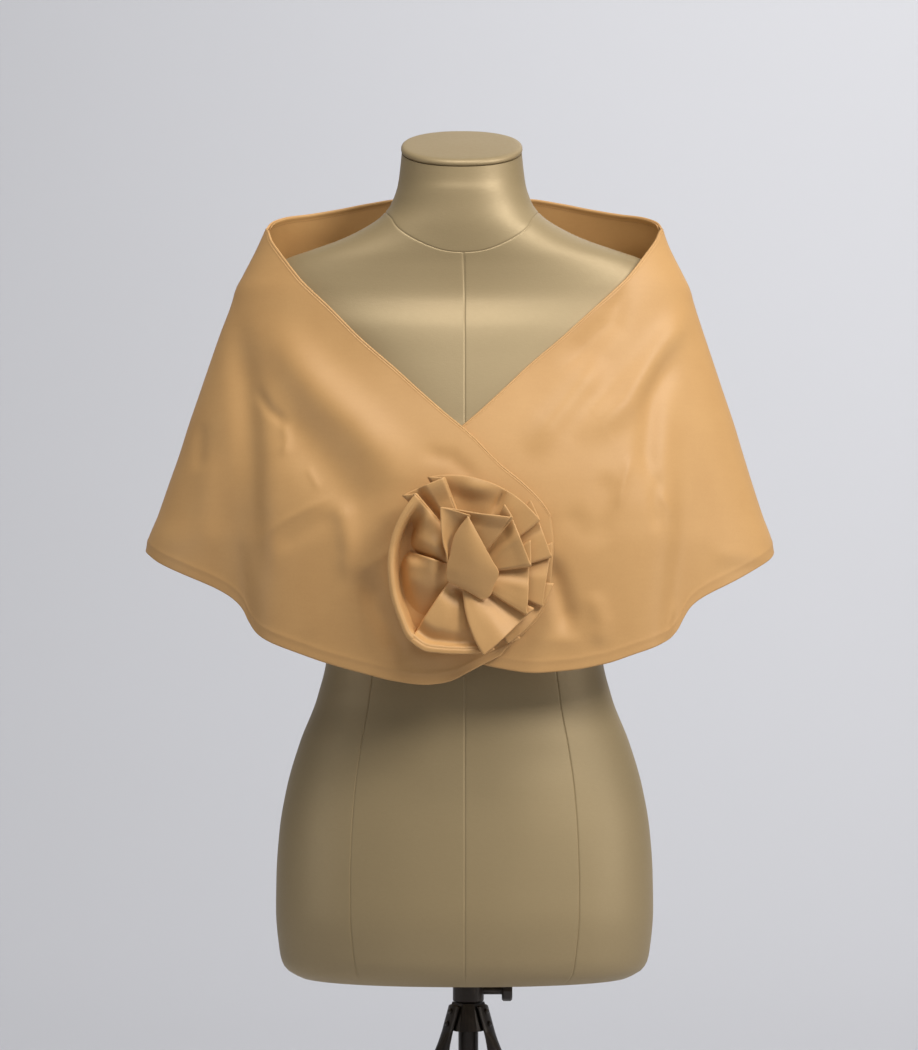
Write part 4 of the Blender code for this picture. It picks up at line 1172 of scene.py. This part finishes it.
class Fold:
    """A pleat's corner fold and the tuck below it, as lines from the root to the rim."""

    def __init__(self, pleat, root, root_lift, share):
        self.pleat = pleat
        self.tuck_root_turn = pleat.root_turn - math.degrees(TUCK_AT_ROOT / root)
        corner_rim = polar(pleat.turn, pleat.reach)
        self.corner = line(polar(pleat.root_turn, root), corner_rim, share, pleat.bow)
        tuck_rim = polar(pleat.tuck_turn, pleat.tuck_reach)
        self.tuck = line(polar(self.tuck_root_turn, root), tuck_rim, share, pleat.bow)
        way = self.corner - self.tuck
        self.width = np.linalg.norm(way, axis=1)
        self.way = way / self.width[:, None]
        self.top = root_lift + (pleat.lift - root_lift) * share + pleat.flare * flare_share(share)
        self.level = LEVEL_AT_ROOT + (LEVEL_AT_RIM * pleat.roll - LEVEL_AT_ROOT) * share

    def stations(self):
        """Give places and heights round the corner fold, back below it and round the tuck."""
        half = self.level / 2
        rows = []
        for middle, way, levels_down in ((self.corner, -1, 0), (self.tuck, 1, 1)):
            for step in range(FOLD_STEPS + 1):
                angle = math.pi * step / FOLD_STEPS
                along = way * half * (1 - math.sin(angle))
                drop = levels_down * self.level + half * (1 - math.cos(angle))
                rows.append((middle + self.way * along[:, None], self.top - drop))
        return rows


def flare_share(share):
    return smooth_step((share - FLARE_FROM) / FLARE_RUN)


# %% [markdown]
# A panel starts below the last fold, whose tuck hides its first few millimetres, and climbs to
# the next one. Swells and valleys are set where the photograph shows a panel puffed up
# or pinched: the broad panel at the top has a pillow and, to its right, a deep pinch.

# %% Panels between the folds
PanelStart = namedtuple("PanelStart", "root_turn rim_turn rim_reach dip low hidden")
Swell = namedtuple("Swell", "sideways up turn half_length half_width rise")
OUTER_SWELLS = {
    1: [Swell(-28, 66, -32, 16, 5, 2.5)],
    2: [
        Swell(0, 68, 84, 17, 8, 5.5),
        Swell(-16, 52, 20, 16, 4, -3.5),
        Swell(26.5, 62, 26, 17, 3.4, -8.5),
        Swell(39, 52, 50, 15, 5, 3.0),
    ],
    3: [Swell(50, 26, 70, 14, 5, 1.2)],
    4: [Swell(58, 4, 95, 12, 5, 1.2)],
}
INNER_SWELLS = {
    0: [Swell(8, 44, 80, 17, 6, -3.5), Swell(20, 30, 35, 12, 5, -2.5)],
    1: [Swell(36, 22, 60, 16, 6, 1.8)],
    2: [Swell(40, -14, 105, 16, 6, 1.8)],
    3: [Swell(20, -48, 150, 20, 9, 2.4)],
}


def tier_start(start, root_lift, share):
    low_root = root_lift - 2 * LEVEL_AT_ROOT
    low_rim = start.lift - 2 * LEVEL_AT_RIM
    low = low_root + (low_rim - low_root) * share + start.flare * flare_share(share)
    return PanelStart(start.root_turn, start.tuck_turn, start.tuck_reach, start.dip, low, 0)


def start_below(fold):
    pleat = fold.pleat
    low = fold.top - 2 * fold.level
    return PanelStart(
        fold.tuck_root_turn, pleat.tuck_turn, pleat.tuck_reach, pleat.dip, low, fold.width
    )


def swell_lift(places, swells):
    """Give how far the swells and valleys of a panel lift each of its places."""
    total = np.zeros(places.shape[:2])
    for swell in swells:
        away = places - np.array([swell.sideways, swell.up])
        way = polar(swell.turn, 1)
        along = (away @ way) / swell.half_length
        across = (away @ clockwise(way)) / swell.half_width
        total = total + swell.rise * np.exp(-(along**2) - across**2)
    return total


def half_cloth(share):
    return (CLOTH_AT_ROOT + (CLOTH_AT_RIM - CLOTH_AT_ROOT) * share) / 2


def panel_grid(begin, fold, root, share, swells):
    """Give a panel's places and lifts, column by column."""
    pleat = fold.pleat
    step = np.linspace(0, 1, PANEL_STEPS)
    roots = polar(begin.root_turn + (pleat.root_turn - begin.root_turn) * step, root)
    reach = begin.rim_reach + (pleat.reach - begin.rim_reach) * step
    reach = reach - begin.dip * arch(step)
    rims = polar(begin.rim_turn + (pleat.turn - begin.rim_turn) * step, reach)
    bend = arch(share) * pleat.bow
    places = roots[:, None] + (rims - roots)[:, None] * share[None, :, None]
    places = places + clockwise(rims - roots)[:, None] * (bend * step[:, None])[..., None]
    along = np.concatenate([0 * share[None, :], np.cumsum(step_lengths(places), axis=0)])
    margin = half_cloth(share) + FOLD_MARGIN
    climb_from = begin.hidden + margin
    climb_to = np.maximum(along[-1] - fold.width - margin, climb_from + SHORTEST_CLIMB * along[-1])
    climb = smooth_step((along - climb_from) / (climb_to - climb_from))
    lift = begin.low + (fold.top - begin.low) * climb
    return places, lift + swell_lift(places, swells) * np.sin(np.pi * climb) ** 0.5


# %% [markdown]
# ## The bowl
# From six to eleven o'clock the strip runs round in one tall panel. It lies low near the centre,
# turns up into a steep wall and ends in a rolled band of two layers. Its fullness is taken up by
# two gathers: the cloth swells up to each one, turns under its edge and starts again far below.

# %% The bowl's section and gathers
# Turns on the way round, and how far the rim reaches from the rosette's centre there
BOWL_RIM = curve_through([
    (164, 72), (186.6, 73.6), (200, 76.9), (211.5, 81.0), (220, 80.8), (234.5, 75.3), (249, 72.1),
    (265.4, 70.4), (279, 70.9), (293.5, 72.5), (307.4, 74.6), (324, 78.6),
])
# Shares of the way out to the rim, and how much of its climb the section has made there
BOWL_PROFILE = curve_through([
    (0, 0), (0.3, 0.08), (0.55, -0.06), (0.74, -0.2), (0.83, -0.16), (0.885, 0.3), (0.915, 0.84),
    (0.94, 1.0), (1, 0.98),
])
Gather = namedtuple("Gather", "root_turn rim_turn rise")
GATHERS = [Gather(243, 219, 7), Gather(277, 284, 12.5)]
LAST_SWELL = 10
BOWL_SWELLS = [
    Swell(-33, 20, -45, 17, 9, 4.5),
    Swell(-55, 26, 20, 18, 7, -7.0),
    Swell(-50, 12, -65, 10, 5, -7.0),
    Swell(-20, -42, 200, 17, 9, 3.0),
    Swell(-46, -12, -75, 12, 8, 2.0),
]
SWELL_FROM, SWELL_TO = 0.35, 0.85
SWELL_FADE = 0.2
BOWL_PART_STEPS = 36
EDGE_ROOM = 0.015
BOWL_FADE_IN = 0.35
BOWL_FADE_OUT = 0.55
FULL_FOOT = 0.62
GATHER_POWER = 1.3

# A gather's turned-under edge: how far each place lies beyond it, and its share of the drop
GATHER_EDGE = [
    (0.5, 0.01), (0.95, 0.05), (1.0, 0.11), (0.55, 0.17), (-0.5, 0.25), (-1.7, 0.4), (-2.2, 0.58),
    (-1.9, 0.76), (-0.9, 0.91), (0.8, 0.99),
]


# %% The bowl's grid
def bowl_grid(begin, fold, root, share):
    """Give the bowl's places and lifts: three swelling parts with a gather between each two."""
    stops = range(len(GATHERS) + 2)
    root_turns = [begin.root_turn] + [gather.root_turn for gather in GATHERS]
    rim_turns = [begin.rim_turn] + [gather.rim_turn for gather in GATHERS]
    root_turn = smooth_table(stops, root_turns + [fold.pleat.root_turn])
    rim_turn = smooth_table(stops, rim_turns + [fold.pleat.turn])
    last = len(GATHERS) + 1
    swelling = smooth_step(share / SWELL_FROM) * smooth_step((SWELL_TO - share) / SWELL_FADE)

    def column(place, rise, beyond=0.0):
        start = polar(root_turn(place), root)
        end = polar(rim_turn(place), BOWL_RIM(rim_turn(place)))
        spots = start + (end - start) * share[:, None]
        spots = spots + clockwise(end - start) * (beyond * swelling)[:, None]
        level = begin.low + (fold.top - begin.low) * smooth_step(place / last)
        window = smooth_step(place / BOWL_FADE_IN) * smooth_step((last - place) / BOWL_FADE_OUT)
        window = window * (1 - FULL_FOOT * smooth_step((1 + EDGE_ROOM - place) / EDGE_ROOM))
        hollow = (share - BOWL_PROFILE(share)) * (level[-1] - level[0]) * window
        swells = swell_lift(spots[None], BOWL_SWELLS)[0] * window
        return spots, level - hollow + rise * swelling + swells

    columns = []
    for part in range(last):
        for step in np.linspace(0 if part == 0 else EDGE_ROOM, 1, BOWL_PART_STEPS):
            if part < len(GATHERS):
                rise = GATHERS[part].rise * np.sin(np.pi * step / 2) ** GATHER_POWER
            else:
                rise = LAST_SWELL * np.sin(np.pi * step)
            columns.append(column(part + step, rise))
        if part < len(GATHERS):
            for number, (beyond, drop) in enumerate(GATHER_EDGE, start=1):
                rise = GATHERS[part].rise * (1 - drop)
                room = EDGE_ROOM * number / (len(GATHER_EDGE) + 1)
                columns.append(column(part + 1 + room, rise, beyond))
    return [np.array(column) for column in zip(*columns)]


# %% [markdown]
# The strip's outer edge is a fold, so it is round. On the bowl the upper layer is a little longer
# than the lower one and shows a line inside the rim; rows of points crowd there to carry it.

# %% The two turns of the strip
RIM_PLACES = (0, 0.4, 0.9, 1.6, 2.3, 2.8, 3.1, 3.4, 3.7, 4, 4.5, 5.2, 6.2, 7.4, 8.8, 10.5, 12.5, 15)
TYPICAL_PANEL = 56
FAR_ROWS = 24
RIM_LINE = 3.4
RIM_LINE_DEPTH = 0.5
RIM_LINE_WIDTH = 0.45
RIM_PUFF = 0.25
RIM_PUFF_PLACES = ((1.8, 1.0), (5, 1.2))
LINE_END_COLUMNS, LINE_FADE_COLUMNS = 4, 6


def strip_shares():
    near = [1 - place / TYPICAL_PANEL for place in RIM_PLACES]
    far = np.linspace(0, near[-1], FAR_ROWS)[:-1]
    return np.array(list(far) + near[::-1])


def ribbon_grid(start, pleats, root, root_lift, has_bowl, swells, share):
    """Give the middle surface of a pleated strip, and how many of its columns are the bowl's."""
    begin = tier_start(start, root_lift, share)
    places, lifts, bowl_columns = [], [], 0
    for number, pleat in enumerate(pleats):
        fold = Fold(pleat, root, root_lift, share)
        if has_bowl and number == 0:
            panel, lift = bowl_grid(begin, fold, root, share)
            bowl_columns = len(panel)
        else:
            panel, lift = panel_grid(begin, fold, root, share, swells.get(number, []))
        first = 0 if number == 0 else 1
        places.extend(panel[first:-1])
        lifts.extend(lift[first:-1])
        for place, height in fold.stations():
            places.append(place)
            lifts.append(height)
        begin = start_below(fold)
    return np.array(places), np.array(lifts), bowl_columns


def make_tier(name, node, start, pleats, root, root_lift, has_bowl, swells):
    share = strip_shares()
    places, lifts, bowl_columns = ribbon_grid(
        start, pleats, root, root_lift, has_bowl, swells, share
    )
    middle = on_front(places[..., 0], places[..., 1], lifts)
    normals = surface_normals(middle)
    # The strip's face looks to the front, which is down the y axis
    normals = normals * -np.sign(normals[len(normals) // 8, 5, 1])
    half = half_cloth(share)
    from_rim = (1 - share) * TYPICAL_PANEL
    line_rise = -RIM_LINE_DEPTH * bell(from_rim - RIM_LINE, RIM_LINE_WIDTH)
    puff = sum(RIM_PUFF * bell(from_rim - place, width) for place, width in RIM_PUFF_PLACES)
    to_end = bowl_columns - LINE_END_COLUMNS - np.arange(len(middle))
    extra = (line_rise + puff)[None, :] * smooth_step(to_end / LINE_FADE_COLUMNS)[:, None]
    outer = middle + normals * (half[None, :] + extra)[..., None]
    thick = 2 * half[None, :] + extra
    columns, rows = middle.shape[:2]
    loop = border(columns, rows)
    is_rim = np.array([index % rows == rows - 1 for index in loop], float)
    points, faces = shell(outer, normals, thick, 0 * is_rim, 1 - is_rim)
    made = add_piece(name, points, faces, satin, [node])
    return made, middle


rosette_outer = make_tier(
    "rosette_outer_turn", "rosette_outer", OUTER_START, OUTER_PLEATS,
    OUTER_ROOT, OUTER_ROOT_LIFT, True, OUTER_SWELLS,
)
rosette_inner = make_tier(
    "rosette_inner_turn", "rosette_inner", INNER_START, INNER_PLEATS,
    INNER_ROOT, INNER_ROOT_LIFT, False, INNER_SWELLS,
)

# %% [markdown]
# ## The rosette's centre
# The strip's inner end is folded over itself. In front lies a leaf with crisp folded edges; its
# left edge overlaps a narrow flank that sinks away behind it, so that a dark valley parts them.
# Each is a grid between a left and a right line of places, read from the top down.

# %% The folded centre
# Places from the rosette's centre: how far sideways, up, and out from the right front
LEAF_LEFT = [
    (-2.4, 44.1, 28.4), (-9.2, 35.5, 25.4), (-14.3, 25.8, 23.2), (-17.4, 11.2, 21.0),
    (-20.2, -1.7, 18.8), (-20.2, -8.6, 17.0), (-16.5, -12.9, 16.2), (-11.2, -15.5, 16.0),
]
LEAF_RIGHT = [
    (-1.6, 43.8, 28.4), (4.3, 32.5, 27.6), (11.5, 18.9, 26.6), (18.8, 5.3, 25.0),
    (23.7, -4.3, 23.2), (19.8, -14.6, 20.6), (15.7, -24.4, 18.2), (9.4, -26.5, 17.4),
]
FLANK_LEFT = [
    (-25.4, 51.8, 28.2), (-24.9, 45, 27.6), (-24.5, 37.9, 26.4), (-22.8, 22.4, 23),
    (-19.6, 10.3, 20), (-18.9, 1.7, 18),
]
FLANK_RIGHT = [
    (-1.0, 44.6, 27.0), (-1.5, 39, 21), (-4, 31, 16.5), (-8, 20, 14.0), (-12, 9, 13.0),
    (-14, 0, 12.6),
]
LEAF_CROWN = 3.0
FLANK_HOLLOW = 3.0
LEAF_ROWS, LEAF_COLUMNS = 84, 48
LEAF_CROWDING = 0.5
LEAF_FULLNESS = 0.6


def along_places(places, steps):
    """Give even steps along a line of places, rounded a little at its corners."""
    corners = np.array(places, float)
    lengths = step_lengths(corners)
    stops = np.concatenate([[0], np.cumsum(lengths)]) / lengths.sum()
    curves = [smooth_table(stops, corners[:, k]) for k in range(3)]
    return np.stack([curve(steps) for curve in curves], axis=-1)


def leaf_shell(left, right, crown):
    """Close a leaf between two lines of places; a crown lifts its middle, or sinks it."""
    down = np.linspace(0, 1, LEAF_ROWS)
    across = np.linspace(0, 1, LEAF_COLUMNS)
    wave = np.sin(2 * np.pi * across) / (2 * np.pi)
    across = (across - LEAF_CROWDING * wave)[:, None, None]
    first, second = along_places(left, down), along_places(right, down)
    grid = first[None] + (second - first)[None] * across
    full = arch(across)[..., 0] * np.sin(np.pi * down)[None, :] ** LEAF_FULLNESS
    surface = on_front(grid[..., 0], grid[..., 1], grid[..., 2] + crown * full)
    normals = surface_normals(surface)
    normals = normals * -np.sign(normals[LEAF_COLUMNS // 2, LEAF_ROWS // 2, 1])
    size = len(border(LEAF_COLUMNS, LEAF_ROWS))
    return surface, shell(surface, normals, CLOTH, np.zeros(size), np.zeros(size))


leaf_surface, leaf_mesh = leaf_shell(LEAF_LEFT, LEAF_RIGHT, LEAF_CROWN)
flank_surface, flank_mesh = leaf_shell(FLANK_LEFT, FLANK_RIGHT, -FLANK_HOLLOW)
bud_points, bud_faces = join_meshes([leaf_mesh, flank_mesh])
rosette_bud = add_piece(
    "rosette_bud", bud_points, bud_faces, satin, ["rosette_centre"]
)

# %% [markdown]
# ## The stand
# The collar, pole, legs and rivets keep the frame's own shapes. They get their painted finish,
# and the feet their rubber.

# %% Finishes of the stand
METAL_NODES = [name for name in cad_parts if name.startswith(("stand_", "leg_", "clamp_"))]
RUBBER_NODES = [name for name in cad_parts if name.startswith("foot_")]
for names, material in ((METAL_NODES, paint), (RUBBER_NODES, rubber)):
    for name in names:
        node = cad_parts[name]
        node.data.materials.clear()
        node.data.materials.append(material)
print("painted:", METAL_NODES, "rubber:", RUBBER_NODES)

# %% [markdown]
# ## The cloth's areas
# The area of the finished surface of each piece of cloth is worked out over its own grid; it is not
# used further.


# %% Areas of the cloth
def grid_area(grid):
    first, second = grid[1:, :-1] - grid[:-1, :-1], grid[:-1, 1:] - grid[:-1, :-1]
    third, fourth = grid[:-1, 1:] - grid[1:, 1:], grid[1:, :-1] - grid[1:, 1:]
    halves = [np.cross(first, second), np.cross(third, fourth)]
    return sum(np.linalg.norm(half, axis=-1) for half in halves).sum() / 2


def declare(grid):
    area = grid_area(grid) * MM * MM


declare(right_panel[1])
declare(left_panel[1])
declare(back_panel[1])
declare(facing[1])
declare(rosette_outer[1])
declare(rosette_inner[1])
bud_area = (grid_area(leaf_surface) + grid_area(flank_surface)) * MM * MM

# %% [markdown]
# ## Floor, backdrop and light
# The room is a pale floor that curves up into a pale wall. A large soft key light stands high on
# the right in front, and a weaker one high on the left. Two small ones at the sides pick out the
# edges, one lights the open collar, and one washes the wall behind, which is lightest at the
# top right.

# %% Floor and wall
ROOM_LIGHT = (0.62, 0.62, 0.645)
ROOM_DEEP = (0.60, 0.60, 0.62)
FLOOR_BACK, FLOOR_FRONT = 7.5, 8
WALL_TOP = 8.5
CORNER, CORNER_STEPS = 3.0, 24
ROOM_HALF = 8


def make_room():
    profile = [(-FLOOR_FRONT, 0.0)]
    for step in range(CORNER_STEPS + 1):
        angle = math.pi / 2 * step / CORNER_STEPS
        back = FLOOR_BACK - CORNER + CORNER * math.sin(angle)
        profile.append((back, CORNER - CORNER * math.cos(angle)))
    profile.append((FLOOR_BACK, WALL_TOP))
    points = [(x, y, z) for y, z in profile for x in (-ROOM_HALF, ROOM_HALF)]
    faces = [(2 * i, 2 * i + 1, 2 * i + 3, 2 * i + 2) for i in range(len(profile) - 1)]
    mesh = bpy.data.meshes.new("room")
    mesh.from_pydata(points, [], faces)
    mesh.shade_smooth()
    material, start, shader = new_material("room_paper", {"Roughness": 0.9})
    cloud = noise(start, (0.6, 0.6, 0.6), 2.0)
    drive(shader, "Base Color", mix_colours(cloud, ROOM_LIGHT, ROOM_DEEP))
    mesh.materials.append(material)
    room = bpy.data.objects.new("room", mesh)
    bpy.context.scene.collection.objects.link(room)
    room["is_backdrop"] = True
    return room


room = make_room()

# %% Lights
WORLD_COLOUR, WORLD_STRENGTH = (0.9, 0.93, 1.0, 1), 0.17
Lamp = namedtuple("Lamp", "name place aim size energy colour")
LAMPS = [
    Lamp("key", (2.3, -1.95, 3.4), (0, 0, 1.1), 1.4, 97, (1.0, 0.985, 0.96)),
    Lamp("front_top", (-0.6, -2.3, 3.9), (0, 0, 1.1), 2.0, 21, (1.0, 0.99, 0.97)),
    Lamp("side_right", (3.0, -0.9, 1.1), (0, 0, 0.9), 0.7, 11, (1.0, 1.0, 1.0)),
    Lamp("side_left", (-3.0, -1.0, 1.1), (0, 0, 0.9), 0.8, 7, (0.97, 0.98, 1.0)),
    Lamp("collar", (0.0, -1.1, 3.6), (0, 0.1, 1.35), 0.8, 30, (1.0, 0.99, 0.97)),
    Lamp("wall", (2.6, 3.4, 6.6), (0.4, 7.5, 4.7), 2.8, 420, (1.0, 1.0, 1.0)),
]
for lamp in LAMPS:
    light = bpy.data.lights.new(lamp.name, "AREA")
    light.shape = "DISK"
    light.size = lamp.size
    light.energy = lamp.energy
    light.color = lamp.colour
    holder = bpy.data.objects.new(lamp.name, light)
    bpy.context.scene.collection.objects.link(holder)
    holder.location = lamp.place
    way = Vector(lamp.aim) - Vector(lamp.place)
    holder.rotation_euler = way.to_track_quat("-Z", "Y").to_euler()

world = bpy.data.worlds.new("studio")
bpy.context.scene.world = world
world.use_nodes = True
background = world.node_tree.nodes["Background"]
background.inputs["Color"].default_value = WORLD_COLOUR
background.inputs["Strength"].default_value = WORLD_STRENGTH
print("lights:", [lamp.name for lamp in LAMPS])

# %% [markdown]
# ## Size
# The dressed model has to keep the frame's size, apart from what cloth may stand proud.

# %% Print the sizes
visual_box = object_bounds()
for name, box in (("CAD", cad_box), ("visual", visual_box)):
    print(name, [round(high - low, 4) for low, high in zip(*box)])
